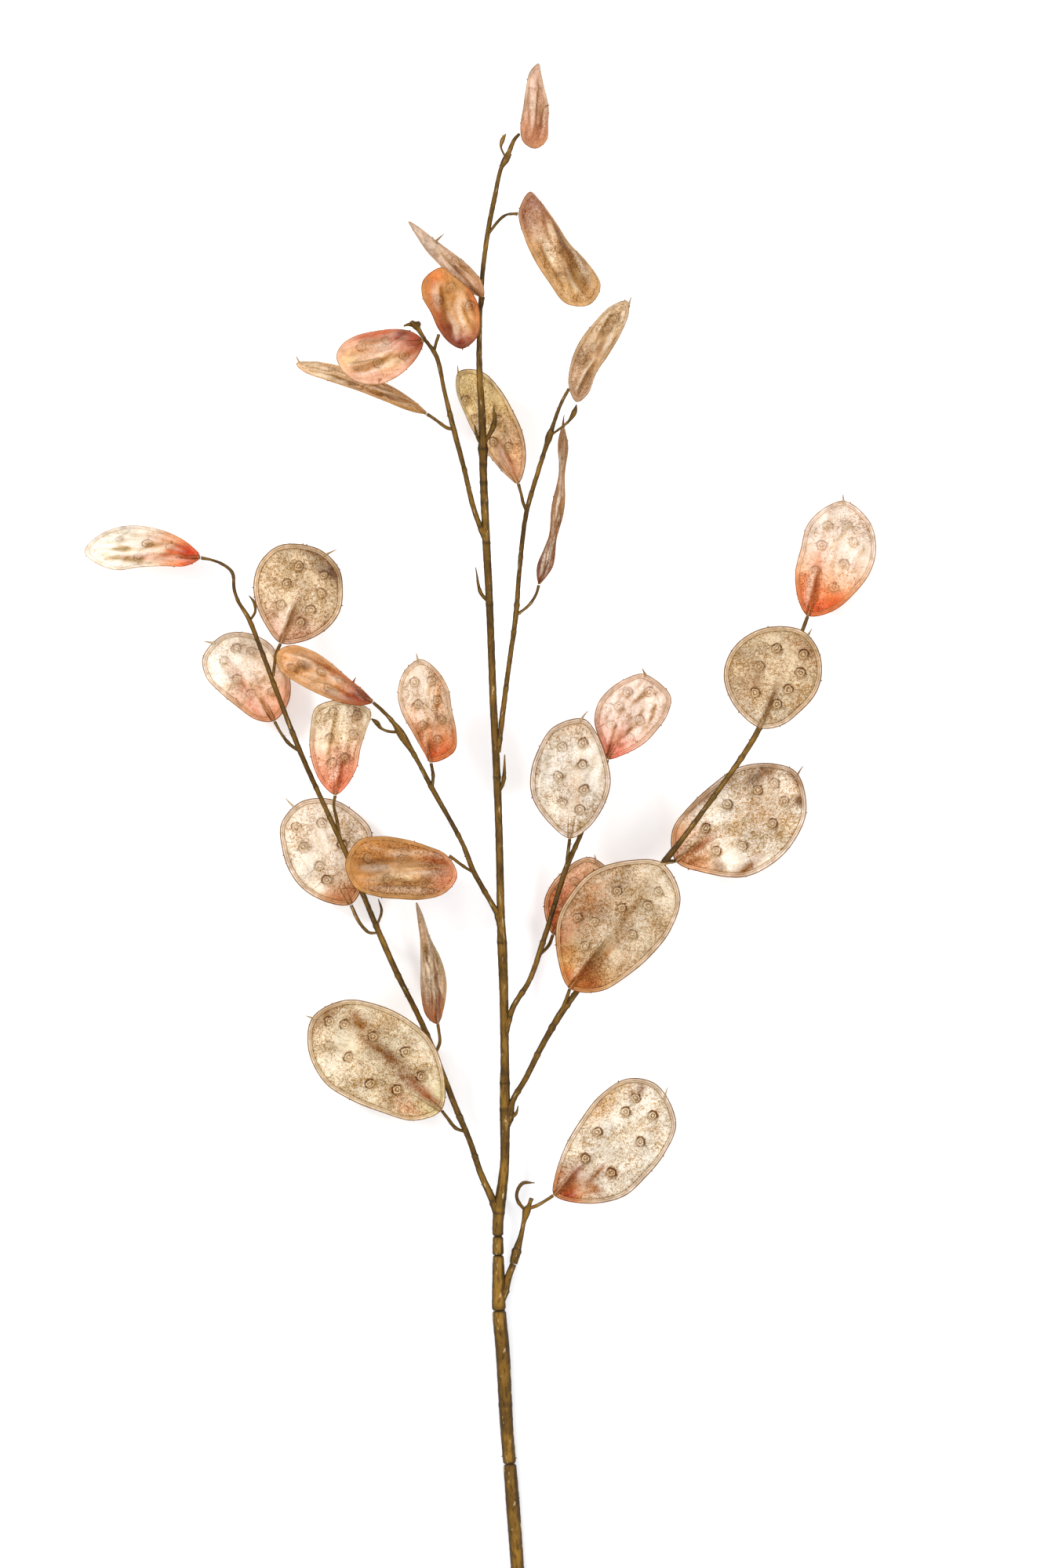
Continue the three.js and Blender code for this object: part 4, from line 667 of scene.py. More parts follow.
GRAIN_SIZES = (2100.0, 850.0, 130.0)     # fine, middle and clouds, per metre
GRAIN_WEIGHTS = (1.0, 0.55, 0.4)
SPECKS, SPARKS = (0.94, 1.34), (1.08, 0.72)     # none to full, in summed grains; sparks are painted glints
SPARSE = 0.2             # how strong the grains still are where nothing is stippled
BANDS = dict(outer=(2.15, 0.75), inner=(0.95, 0.4), pale=(1.4, 0.4), heart=(0.0, 0.8))  # mm from a seed
RING_PULL = (2.2, 2.2, 0.0)             # mm by which noise bends a seed's rings
GOLD_SPREAD = (1.2, 3.3)


def stipple_group():
    """Grains of three sizes: Specks where they gather dark, Sparks where they leave it bright, as painted
    glints.
    """
    group, given, end = new_shader_group("Stipple", ["Place"], ["Amount"], ["Specks", "Sparks", "Height"])
    sums = [0.0]
    for scale, weight, detail in zip(GRAIN_SIZES, GRAIN_WEIGHTS, (1.0, 1.0, 3.0)):
        fac = grain(group, scale, detail, Vector=given["Place"], Roughness=0.6)["Fac"]
        sums.append(maths(group, "MULTIPLY_ADD", fac, weight, sums[-1]))
    density = maths(group, "MULTIPLY_ADD", given["Amount"], 0.22, sums[-1])
    strength = ranged(group, given["Amount"], 0.0, 0.5, SPARSE, 1.0)
    sparks = ranged(group, density, *SPARKS[::-1], 1.0, 0.0)
    send(group, end, Specks=times(group, ranged(group, density, *SPECKS), strength),
         Sparks=times(group, sparks, strength), Height=sums[2])
    return group


def fibre_group():
    """Soft streaks and thin veins along the pod, read from its own length and width."""
    group, given, end = new_shader_group("Fibres", ["Place"], [], ["Streaks", "Veins"])

    def stretched(scale, detail, roughness, distortion):
        place = made(group, "ShaderNodeMapping", {"Vector": given["Place"], "Scale": scale})
        return grain(group, 1.0, detail, Vector=place, Roughness=roughness, Distortion=distortion)["Fac"]

    send(group, end, Streaks=stretched((0.09, 0.5, 1.0), 4.0, 0.6, 1.4),
         Veins=band(group, stretched((0.13, 0.2, 1.0), 5.0, 0.55, 1.2), 0.5, 0.05))
    return group


def seed_mark_group():
    """Uneven double rings round each seed, heavier on one side, and Glint, a painted highlight on a pale band
    inside them and at the seed's heart. Offset's X and Y are the way from the seed in millimetres, and its Z
    is how strongly the seed is drawn."""
    group, given, end = new_shader_group("Seed marks", ["Offset", "Place"], [], ["Rings", "Glint", "Gold"])
    pull = off_middle(group, 400.0, 2.0, Vector=given["Place"])
    pulled = vector_maths(group, "MULTIPLY_ADD", pull, RING_PULL, given["Offset"])
    far = vector_maths(group, "LENGTH", vector_maths(group, "MULTIPLY", pulled, (1.0, 1.0, 0.0)))
    way = put(group, "ShaderNodeSeparateXYZ", {0: given["Offset"]}).outputs
    part = {name: band(group, far, *where) for name, where in BANDS.items()}
    heavy = ranged(group, way["X"], -1.6, 1.6, 0.35, 1.3)
    rings = maths(group, "ADD", times(group, part["outer"], heavy), times(group, part["inner"], 0.7),
                  use_clamp=True)
    # Painted highlight: a pale band inside the rings and the seed's heart.
    glint = maths(group, "ADD", part["pale"], part["heart"], use_clamp=True)
    gold = ranged(group, far, *GOLD_SPREAD, 1.0, 0.0)
    send(group, end, Rings=times(group, rings, way["Z"]), Glint=times(group, glint, way["Z"]),
         Gold=times(group, gold, way["Z"]))
    return group


STIPPLE, FIBRES, SEED_MARKS = stipple_group(), fibre_group(), seed_mark_group()


# %% The film material
def new_material(name, *attributes):
    """An empty material, its tree, the place on the object, and what the named attributes hold. One
    attribute, "round", comes from the trees and not from a draft."""
    material = bpy.data.materials.new(name)
    material.use_nodes = True
    tree = material.node_tree
    tree.nodes.clear()
    outputs = {"FLOAT": "Fac", "FLOAT_COLOR": "Color", "FLOAT_VECTOR": "Vector"}
    read = [put(tree, "ShaderNodeAttribute", attribute_name=label).outputs[
        outputs[ATTRIBUTES.get(label, "FLOAT_VECTOR")]] for label in attributes]
    return material, tree, put(tree, "ShaderNodeTexCoord").outputs["Object"], *read


def bumped(tree, height, strength):
    return made(tree, "ShaderNodeBump", {"Height": height, "Strength": strength, "Distance": 0.6 * MM})


def film_material(name, speck_tone, gloss, see_through):
    """speck_tone multiplies the film's own tone where a speck, a crease or a ring darkens it."""
    material, tree, place, colour, along, seed, amount = new_material(
        name, "tone", "grain_at", "seed_at", "stipple")

    def effect(group, **inputs):
        node = put(tree, "ShaderNodeGroup", node_tree=group)
        send(tree, node.inputs, **inputs)
        return node.outputs

    specks = effect(STIPPLE, Place=place, Amount=amount)
    fibres = effect(FIBRES, Place=along)
    marks = effect(SEED_MARKS, Offset=seed, Place=place)
    streaks = ranged(tree, fibres["Streaks"], 0.45, 0.75, 0.0, 0.3)
    streaked = mixed(tree, streaks, colour, speck_tone, "MULTIPLY")
    creased = mixed(tree, times(tree, fibres["Veins"], 0.12), streaked, speck_tone, "MULTIPLY")
    speckled = mixed(tree, specks["Specks"], creased, speck_tone, "MULTIPLY")
    golden = mixed(tree, times(tree, marks["Gold"], times(tree, amount, 0.45)), speckled, GOLD)
    ringed = mixed(tree, marks["Rings"], golden, RING_TONE, "MULTIPLY")
    # Brown and coral spots let less light through and gleam less.
    blue = put(tree, "ShaderNodeSeparateColor", {0: ringed}).outputs["Blue"]
    thin = ranged(tree, blue, 0.02, 0.6, 0.1, 1.0)
    # Painted glints: bright grains and the glint of each seed screen GLEAM onto the tone.
    glints = maths(tree, "MAXIMUM", times(tree, times(tree, specks["Sparks"], thin), 0.6),
                   times(tree, marks["Glint"], 0.8))
    final = mixed(tree, 1.0, mixed(tree, glints, ringed, GLEAM, "SCREEN"), FILM_WARMTH, "MULTIPLY")
    lifted = maths(tree, "MULTIPLY_ADD", fibres["Veins"], 0.3, specks["Height"])
    relief = bumped(tree, maths(tree, "MULTIPLY_ADD", marks["Rings"], 0.45, lifted), 0.4)
    surface = made(tree, "ShaderNodeBsdfPrincipled", {
        "Base Color": final, "Roughness": ranged(tree, specks["Height"], 0.6, 1.1, gloss, gloss + 0.2),
        "Normal": relief, "Specular IOR Level": 0.2})
    glow = made(tree, "ShaderNodeBsdfTranslucent", {"Color": final, "Normal": relief})
    body = made(tree, "ShaderNodeMixShader", {0: 0.4, 1: surface, 2: glow})
    whole = made(tree, "ShaderNodeMixShader", {
        0: times(tree, thin, see_through), 1: body, 2: made(tree, "ShaderNodeBsdfTransparent")})
    send(tree, tree.nodes.new("ShaderNodeOutputMaterial").inputs, Surface=whole)
    return material


FILMS = {
    "pod_cream": film_material("pod_cream_film", tone(174, 134, 62), 0.3, 0.36),
    "pod_tan": film_material("pod_tan_film", tone(174, 136, 66), 0.32, 0.24),
    "pod_coral": film_material("pod_coral_film", tone(196, 134, 74), 0.3, 0.2),
}
print("films:", ", ".join(FILMS))


# %% [markdown]
# ## Stem skin
# The stems are moulded in an olive brown, with long darker and lighter streaks, a satin sheen and pale
# scuffs, and their flanks are darker as painted shade. The streaks are noise read along the stem's own
# length, from the attribute "grain_at", so they follow every bend.

# %% The stem material
def stem_material():
    material, tree, place, colour, around, along = new_material(
        "stem_skin", "tone", "round", "grain_at")
    long_way = vector_maths(tree, "MULTIPLY_ADD", around, (1.6, 1.6, 1.6), along)
    streaks = grain(tree, 1.3, 5.0, Vector=long_way, Roughness=0.65)["Fac"]
    rubbed = grain(tree, 0.9, 3.0, Vector=long_way, Roughness=0.7)["Fac"]
    mottles = grain(tree, 110.0, 3.0, Vector=place)["Fac"]
    blotches = grain(tree, 330.0, 4.0, Vector=place)["Fac"]
    normal = put(tree, "ShaderNodeNewGeometry").outputs["Normal"]
    up_facing_for_shade = put(tree, "ShaderNodeSeparateXYZ", {0: normal}).outputs["Z"]
    # Painted shade: the less a spot of the skin faces up, the more STEM_DARK it takes, so the flanks are
    # darker.
    for value, low, high, at_low, at_high, shade in (
            (up_facing_for_shade, 0.4, 1.0, 0.9, 0.0, STEM_DARK), (streaks, 0.46, 0.66, 0.0, 0.8, STEM_DARK),
            (mottles, 0.38, 0.56, 0.4, 0.0, STEM_DARK), (blotches, 0.52, 0.8, 0.0, 0.4, STEM_LIGHT),
            (rubbed, 0.62, 0.7, 0.0, 0.7, SCUFF)):
        colour = mixed(tree, ranged(tree, value, low, high, at_low, at_high), colour, shade)
    surface = made(tree, "ShaderNodeBsdfPrincipled", {
        "Base Color": colour, "Roughness": ranged(tree, blotches, 0.3, 0.7, 0.42, 0.6),
        "Normal": bumped(tree, maths(tree, "ADD", streaks, blotches), 0.6), "Specular IOR Level": 0.12})
    send(tree, tree.nodes.new("ShaderNodeOutputMaterial").inputs, Surface=surface)
    return material


STEM = stem_material()


# %% [markdown]
# ## The bent surface of a pod
# A pod is drawn flat, with u along it and v to its left, and then bent: rolled about its length, twisted
# where base and tip roll differently, swayed, arched, cupped and drifted sideways. The same measures
# bend the solid, so film and solid stay together.

# %% Bending u and v into space
class PodSurface:
    def __init__(self, pod):
        self.pod = pod
        self.base = Vector(pod["base"])
        axis = Vector(pod["tip"]) - self.base
        self.length = axis.length
        self.along = axis.normalized()
        self.left = UP.cross(self.along).normalized()
        self.up = self.along.cross(self.left)
        self.widest = max(*pod["left"], *pod["right"])

    def at(self, u, v, lift=0.0, proud=0.0):
        """The point at u and v, lifted off the smooth surface, and then proud of that."""
        pod = self.pod
        share = min(1, max(0, u / self.length))
        sway, period = pod.get("sway", (0, 1))
        roll = math.radians(pod["roll"][0] + (pod["roll"][1] - pod["roll"][0]) * share
                            + sway * math.sin(2 * math.pi * share / period))
        across = self.left * math.cos(roll) + self.up * math.sin(roll)
        normal = self.along.cross(across)
        hump = 4 * share * (1 - share)
        point = (self.base + self.along * u + across * v + self.up * (pod["arch"] * hump)
                 + self.left * (pod.get("drift", 0) * hump)
                 + normal * (pod["cup"] * hump * (v / self.widest) ** 2 + lift))
        over = point.z - LOWEST
        point.z = LOWEST + (over + math.sqrt(over * over + 1)) / 2
        return point + normal * proud, across, normal

    def outline(self, count):
        """The flat outline, from the base along the left side to the tip and back along the right."""
        sides = [[(s * self.length, sign * w, 0.0) for s, w in zip(WIDTH_STATIONS, self.pod[side])]
                 for side, sign in (("left", 1), ("right", -1))]
        corners = [(0, 0, 0), *sides[0], (self.length, 0, 0), *sides[1][::-1]]
        return spline(corners, True, [count // len(corners)] * len(corners))


def middle_of(outline):
    return sum(outline, Vector()) / len(outline)


def inset(outline, distance):
    centre = middle_of(outline)
    return [p.lerp(centre, distance / (p - centre).length) for p in outline]


sample = PodSurface(PODS["pod_lower_left_2"])
edge_line = sample.outline(OUTLINE_POINTS)
print("a pod", round(sample.length, 1), "mm long, with", len(edge_line), "outline points")

# %% [markdown]
# ## How each pod looks
# `film` is the film's own tone, and `blush` the tone that spreads from its base, how strongly and over
# which share of the length. `folds` says how many lengthwise folds there are and how high they stand.
# Then come how stippled the film is, how crumpled, how strongly its slopes get painted highlight and
# painted shade (`sheen`), which share of the length the fold at the base takes, how strongly the seeds
# are drawn (`ink`) and how much of the double rim still shows (`rim`). A stain is (share of the length,
# mm to the left, reach along, reach across, tone, strength). A crease is (share, mm to the left) at both
# its ends, its height and its reach in mm; one side of it gets painted light and the other painted shade.

# %% Looks of the pods
PLAIN_LOOK = dict(stipple=0.5, crumple=1.0, sheen=1.0, keel=0.2, ink=0.6, rim=1.0, stains=(), creases=())
LOOKS = {
    "pod_crown_1": dict(
        slot="pod_coral", film=(233, 216, 204), blush=((211, 139, 94), 0.7, 0.45), folds=(2, 0.5),
        stipple=0.6, sheen=0.7, ink=0.12, rim=0.25, stains=((0.3, 5, 6, 3, RUST, 0.5),
        (0.75, 2, 10, 4, (214, 146, 110), 0.5)), creases=((0.12, 4, 0.9, 1, 0.8, 2.4),
        (0.2, -3, 0.6, -5, -0.6, 2))),
    "pod_crown_2": dict(
        slot="pod_tan", film=(224, 187, 137), blush=((191, 137, 118), 0.9, 0.3), folds=(2, 0.6),
        stipple=0.8, sheen=0.7, ink=0.25, rim=0.5, stains=((0.5, 2, 9, 3, (132, 84, 38), 0.7),
        (0.5, -7, 6, 3, PALE, 0.6), (0.86, -5, 6, 4, (232, 196, 138), 0.8), (0.7, 6, 8, 2.5, BROWN, 0.45)),
        creases=((0.25, 3, 0.95, 4, 1, 3), (0.5, -2, 0.97, -1, -0.9, 2.5), (0.1, 2, 0.55, 8, 0.8, 2.5),
        (0.3, -9, 0.75, -9, 0.6, 2))),
    "pod_crown_3": dict(
        slot="pod_tan", film=(224, 203, 189), blush=((219, 170, 131), 0.8, 0.4), folds=(2, 0.5), ink=0.15,
        rim=0.4, creases=((0.05, 1, 0.7, -2, 0.8, 2), (0.1, -4, 0.5, -5, 0.7, 2))),
    "pod_top_left_1": dict(
        slot="pod_coral", film=(243, 203, 184), blush=((138, 22, 8), 0.9, 0.16), folds=(1, 0.5),
        stipple=0.35, sheen=0.7, ink=0.25, rim=0.3, stains=((0.67, -2.6, 9, 5, (226, 172, 108), 0.5),
        (0.2, -4, 9, 6, (188, 86, 62), 0.8), (0.49, -9.9, 14, 3, (214, 108, 64), 0.85),
        (0.87, 3, 6, 5, (255, 230, 184), 0.8), (0.44, 7, 7, 4, (255, 230, 184), 0.75),
        (0.21, -6.4, 4, 3, (112, 32, 14), 0.9), (0.1, 6, 6, 3, (214, 150, 110), 0.6)),
        creases=((0.12, -1, 0.78, -5, 1.3, 3), (0.3, 4, 0.95, 3, -0.9, 3), (0.2, -5, 0.55, 2, -1.3, 3),
        (0.05, 3, 0.4, 12, 1, 3))),
    "pod_top_left_2": dict(
        slot="pod_coral", film=(206, 158, 96), blush=((91, 10, 8), 0.7, 0.2), folds=(1, 0.5), stipple=0.4,
        sheen=0.65, ink=0.3, rim=0.25, stains=((0.38, 8, 10, 4, (168, 72, 44), 0.9),
        (0.22, 5, 6, 4, (128, 46, 24), 0.85), (0.63, -11, 16, 3, (230, 124, 54), 0.85),
        (0.95, 5, 5, 8, (228, 134, 68), 0.7), (0.36, -4.6, 8, 4, (242, 204, 152), 0.6),
        (0.66, 8, 9, 3, (222, 140, 84), 0.6)), creases=((0.12, 1, 0.5, 4, -1.4, 2.6),
        (0.1, -6, 0.6, -3, 0.9, 2.5), (0.3, -8, 0.7, -7, 0.7, 2.5), (0.5, 5, 0.85, 3, 0.8, 2.5))),
    "pod_top_left_3": dict(
        slot="pod_tan", film=(248, 226, 196), blush=((201, 149, 77), 0.8, 0.45), folds=(2, 0.4),
        stipple=0.8, ink=0.2, rim=0.35, creases=((0.1, -2, 0.8, -4, 0.8, 2), (0.4, 3, 0.95, 4, 0.7, 2))),
    "pod_top_right_1": dict(
        slot="pod_tan", film=(220, 197, 164), blush=((198, 166, 146), 0.8, 0.4), folds=(1, 0.4),
        stipple=0.7, sheen=0.6, ink=0.35, rim=0.7, stains=((0.5, 0, 9, 9, (186, 140, 96), 0.5),
        (0.92, 0, 9, 9, PALE, 0.45)), creases=((0.02, 3, 0.42, 1, 1, 2), (0.3, -5, 0.75, -3, 0.8, 2),
        (0.5, 6, 0.95, 5, 0.8, 2))),
    "pod_top_right_2": dict(
        slot="pod_tan", film=(255, 243, 192), blush=((222, 177, 147), 0.9, 0.45), folds=(2, 0.35),
        stipple=0.9, crumple=0.6, sheen=0.6, ink=0.75, stains=((0.2, -1, 9, 2.4, RUST, 0.7),),
        creases=((0.08, -2, 0.36, -1, 1, 2), (0.45, 8, 0.62, 0, 0.6, 2))),
    "pod_top_right_3": dict(
        slot="pod_tan", film=(180, 130, 68), blush=((144, 74, 34), 0.9, 0.22), folds=(3, 0.7), stipple=0.8,
        ink=0, rim=0.2, creases=((0.02, 2, 0.3, -2, 1, 1.6), (0.35, 2, 0.62, -1, 0.8, 1.6))),
    "pod_mid_left_1": dict(
        slot="pod_coral", film=(238, 193, 142), blush=((168, 58, 18), 1, 0.24), folds=(2, 0.5), ink=0.4,
        rim=0.45, stains=((0.35, -6, 14, 2.5, (200, 96, 50), 0.6), (0.7, 7, 12, 4, (240, 202, 148), 0.6)),
        creases=((0.05, 1, 0.5, -2, 1.3, 3), (0.1, 4, 0.7, 10, 0.9, 3), (0.4, -5, 0.95, -2, 0.8, 3))),
    "pod_mid_left_2": dict(
        slot="pod_cream", film=(237, 222, 209), blush=((220, 100, 43), 1, 0.26), folds=(2, 0.4),
        stipple=0.7, sheen=0.6, ink=0.55, rim=0.7, stains=((0.6, -8, 14, 3.5, (214, 158, 104), 0.7),
        (0.3, 6, 9, 4, (236, 166, 130), 0.6)), creases=((0.03, 1, 0.3, 0, 1, 2.2),
        (0.1, 4, 0.35, 6, 0.8, 2.4))),
    "pod_mid_left_3": dict(
        slot="pod_tan", film=(208, 152, 86), blush=((232, 158, 128), 0.95, 0.2), folds=(1, 0.4),
        stipple=0.8, sheen=0.5, ink=0.3, rim=0.6, stains=((0.7, 0, 8, 3, (140, 88, 36), 0.8),
        (0.2, -6, 7, 4, (176, 98, 54), 0.7), (0.5, 3, 9, 4, (244, 222, 184), 0.6),
        (0.45, 11, 20, 3.5, (176, 128, 68), 0.6)), creases=((0.03, -3, 0.6, 1, 1.6, 3.5),
        (0.3, -8, 0.72, -4, -1.2, 3), (0.1, 6, 0.85, 8, 1.2, 3.5), (0.55, -4, 0.85, 1, 1.1, 3),
        (0.05, -9, 0.4, -11, 0.8, 2.5))),
    "pod_lower_left_1": dict(
        slot="pod_cream", film=(255, 255, 255), blush=((230, 62, 15), 1, 0.22), folds=(2, 0.4),
        stipple=0.35, ink=0.35, rim=0.5, stains=((0.3, 2, 16, 2.2, (226, 130, 92), 0.7),
        (0.35, -9, 9, 5, (246, 176, 140), 0.5)), creases=((0.03, 1, 0.45, 2, 1, 2.4),
        (0.1, -3, 0.4, -9, 0.8, 2.6))),
    "pod_lower_left_2": dict(
        slot="pod_tan", film=(234, 220, 198), blush=((213, 146, 134), 0.5, 0.25), folds=(1, 0.25),
        stipple=1.15, crumple=0.5, sheen=0.5, keel=0.42, ink=0.7,
        stains=((0.84, -10, 4, 9, (112, 70, 26), 0.9), (0.95, 0, 3, 9, BROWN, 0.5),
        (0.3, 0, 12, 2, (170, 118, 66), 0.6)), creases=((0.02, 1, 0.44, 1, 1.2, 2),)),
    "pod_lower_left_3": dict(
        slot="pod_cream", film=(255, 255, 255), blush=((255, 194, 162), 1, 0.4), folds=(2, 0.25),
        stipple=0.45, crumple=0.8, sheen=0.8, ink=0.55, rim=0.8,
        stains=((0.3, 4, 16, 2.4, (216, 120, 84), 0.5), (0.75, -8, 9, 5, (216, 176, 122), 0.5)),
        creases=((0.03, 1, 0.35, 2, 1, 2.4),)),
    "pod_lower_left_4": dict(
        slot="pod_cream", film=(255, 254, 235), blush=((249, 142, 115), 1, 0.42), folds=(2, 0.25),
        stipple=0.8, sheen=0.6, ink=0.5, rim=0.7, stains=((0.8, -7, 7, 4, (196, 146, 84), 0.6),
        (0.45, 5, 12, 3, (250, 222, 186), 0.6)), creases=((0.05, 1, 0.45, -2, 1, 2.6),
        (0.4, 6, 0.95, 4, 0.8, 2.6))),
    "pod_lower_left_5": dict(
        slot="pod_cream", film=(254, 249, 244), blush=((212, 132, 84), 0.8, 0.16), folds=(1, 0.25),
        stipple=0.75, crumple=0.5, sheen=0.4, ink=0.85, stains=((0.25, -8, 8, 8, (216, 176, 126), 0.5),)),
    "pod_lower_left_6": dict(
        slot="pod_tan", film=(212, 187, 156), blush=((153, 61, 13), 0.7, 0.2), folds=(3, 0.8), stipple=0.8,
        ink=0.3, rim=0.35, stains=((0.5, 2.5, 3, 0.8, BROWN, 0.9), (0.6, -1, 3.5, 0.9, BROWN, 0.8),
        (0.36, 5, 3, 0.8, BROWN, 0.9), (0.42, -5, 5, 1.2, RUST, 0.8),
        (0.14, -2, 6, 1.2, (170, 84, 50), 0.9), (0.75, 1.5, 5, 0.8, RUST, 0.7),
        (0.45, 8, 12, 2, (216, 200, 190), 0.7)), creases=((0.05, 4, 0.8, 2, 1.4, 2),
        (0.1, -3, 0.6, -2, 1.1, 2), (0.15, -9, 0.5, -6, -1, 2), (0.3, 8, 0.7, 3, 0.8, 2))),
    "pod_lower_left_7": dict(
        slot="pod_cream", film=(238, 231, 210), blush=((255, 255, 208), 0.85, 0.15), folds=(1, 0.25),
        stipple=1.05, crumple=0.45, sheen=0.35, ink=0.95,
        stains=((0.74, -10.5, 8, 3.5, (166, 116, 46), 0.95), (0.5, -6, 14, 3, (160, 110, 44), 0.95),
        (0.25, -2.5, 9, 2.6, (156, 98, 40), 0.95), (0.12, -1.6, 8, 2.6, (166, 92, 42), 0.95),
        (0.94, -3, 3, 8, (166, 118, 50), 0.9), (0.7, 8, 14, 7, PALE, 0.7), (0.35, -17, 12, 4, PALE, 0.6),
        (0.2, 8, 9, 5, (232, 190, 156), 0.8))),
    "pod_right_inner_1": dict(
        slot="pod_cream", film=(236, 216, 209), blush=((255, 138, 125), 1, 0.24), folds=(2, 0.25),
        stipple=0.45, ink=0.4, rim=0.7, creases=((0.03, 2, 0.4, 4, 1, 2.4),)),
    "pod_right_inner_2": dict(
        slot="pod_cream", film=(233, 230, 228), blush=((255, 255, 255), 0.8, 0.13), folds=(1, 0.25),
        stipple=0.75, crumple=0.45, sheen=0.4, ink=0.8, stains=((0.4, 0, 12, 4, (216, 180, 128), 0.45),
        (0.9, 2, 6, 9, (222, 186, 132), 0.4), (0.25, 9, 7, 6, PALE, 0.6)), creases=((0.03, 0, 0.2, 0, 1, 2),
        (0.03, -2, 0.2, -4, 0.7, 2))),
    "pod_right_inner_3": dict(
        slot="pod_coral", film=(250, 226, 200), blush=((232, 132, 84), 0.9, 0.5), folds=(2, 0.25),
        stipple=0.7, crumple=0.6, sheen=0.5, ink=0.4, creases=((0.2, 8, 0.4, -6, 0.8, 2),)),
    "pod_right_outer_1": dict(
        slot="pod_cream", film=(254, 246, 246), blush=((237, 108, 48), 1, 0.29), folds=(2, 0.25),
        stipple=0.6, crumple=0.7, sheen=0.7, ink=0.45, rim=0.7,
        stains=((0.3, 3, 14, 3, (232, 146, 104), 0.6),), creases=((0.03, 1, 0.4, 3, 1, 2.4),)),
    "pod_right_outer_2": dict(
        slot="pod_tan", film=(224, 210, 186), blush=((255, 255, 255), 0.6, 0.25), folds=(1, 0.25),
        stipple=1.1, crumple=0.45, sheen=0.35, keel=0.36, ink=1,
        stains=((0.35, 12, 8, 5, (176, 126, 62), 0.5), (0.6, -12, 9, 3, PALE, 0.5),
        (0.3, 0, 10, 2, (150, 100, 50), 0.6), (0.85, -6, 5, 8, (180, 130, 66), 0.5)),
        creases=((0.02, 1, 0.4, 1, 1.2, 2),)),
    "pod_right_outer_3": dict(
        slot="pod_cream", film=(255, 255, 255), blush=((255, 190, 142), 0.9, 0.2), folds=(1, 0.25),
        stipple=1.05, crumple=0.55, sheen=0.5, ink=1.05,
        stains=((0.9, -10.8, 2.5, 2.5, (126, 78, 30), 0.95), (0.97, -3.5, 1.6, 8, (150, 98, 42), 0.9),
        (0.83, 9, 9, 4, (152, 104, 44), 0.9), (0.35, -21, 9, 2.5, (156, 106, 50), 0.9),
        (0.21, -13.5, 3, 3.5, (150, 104, 54), 0.85), (0.5, -4, 12, 5, PALE, 0.85),
        (0.7, -19, 8, 5, PALE, 0.8), (0.18, -0.5, 8, 1.8, (200, 124, 80), 0.9),
        (0.14, 1.6, 8, 0.9, PALE, 0.9), (0.35, 15.5, 17, 2.5, (158, 104, 48), 0.9),
        (0.72, -2, 12, 10, (206, 168, 112), 0.5)), creases=((0.03, 1, 0.24, 3, 1.1, 2.4),
        (0.03, -2, 0.2, -5, 0.8, 2.4))),
    "pod_right_outer_4": dict(
        slot="pod_tan", film=(233, 224, 209), blush=((209, 118, 38), 1, 0.16), folds=(1, 0.25), stipple=1.1,
        crumple=0.45, sheen=0.35, keel=0.44, ink=0.75, stains=((0.5, 16, 17, 9, (202, 156, 112), 0.9),
        (0.13, -1.6, 7, 4, (180, 104, 44), 0.95), (0.32, -3.8, 13, 2.2, (178, 128, 62), 0.9),
        (0.64, -1, 15, 2.2, (176, 142, 92), 0.8), (0.44, 9.8, 2, 2, PALE, 0.95),
        (0.28, 5.7, 2, 2, PALE, 0.95), (0.2, 17, 12, 4, (196, 118, 66), 0.7),
        (0.25, -13, 12, 5, (232, 204, 170), 0.6)), creases=((0.02, 1, 0.46, 1, 1.6, 2.2),)),
    "pod_spur_1": dict(
        slot="pod_cream", film=(241, 240, 236), blush=((194, 50, 8), 0.9, 0.1), folds=(2, 0.25),
        stipple=0.85, crumple=0.5, sheen=0.4, ink=1.15, stains=((0.12, 0, 9, 5, (172, 96, 38), 0.95),
        (0.2, -0.4, 6, 1.3, (150, 80, 40), 0.9), (0.17, -9, 5, 4, (214, 160, 110), 0.8),
        (0.29, -7.3, 7, 1.3, (164, 104, 42), 0.95), (0.22, -12, 2, 4.5, (176, 116, 52), 0.9),
        (0.91, 4, 3, 2, (150, 96, 40), 0.9), (0.7, 11, 13, 4, (232, 200, 150), 0.8),
        (0.3, 8, 6, 5, PALE, 0.9), (0.68, -8, 12, 5, PALE, 0.7), (0.37, -12, 3, 3, (180, 124, 60), 0.8)),
        creases=((0.03, 0, 0.2, 1, 1, 2.2),)),
}
print("looks for", len(LOOKS), "pods")


# %% [markdown]
# ## The film
# The film is two sheets that meet at the outline. Its rings of vertices lie close together near the rim and
# wider towards the middle. Lengthwise folds, a slow swell and a low dome at every seed lift both sheets.

# %% Darker tones and soft steps
def darker(colour, share):
    """Brown films turn redder as they darken, so blue falls faster than red."""
    return Vector((colour.x * share, colour.y * share ** 1.45, colour.z * share ** 2.4))


def dyed(film, dye, share):
    """A dye takes more of the light the thicker it lies, so the two tones mix by powers and stay clear."""
    return Vector([f ** (1 - share) * d ** share for f, d in zip(film, dye)])


def shaded(colour, amount, dark, lit):
    """Painted shade: darker by a share of dark where the amount is below 0; painted light: towards LIT above
    it.
    """
    return darker(colour, 1 - dark * max(0, -amount)).lerp(LIT, lit * max(0, min(1, amount)))


def ease(x):
    x = min(1.0, max(0.0, x))
    return x * x * (3 - 2 * x)


def bell(away, reach):
    """1 at no distance, and next to nothing at twice the reach."""
    return math.exp(-(away / reach) ** 2)


def rim_shade(edge):
    for (near, a), (far, b) in zip(RIM_SHADES, RIM_SHADES[1:]):
        if edge <= far:
            return a + (b - a) * (edge - near) / (far - near)
    return 1.0


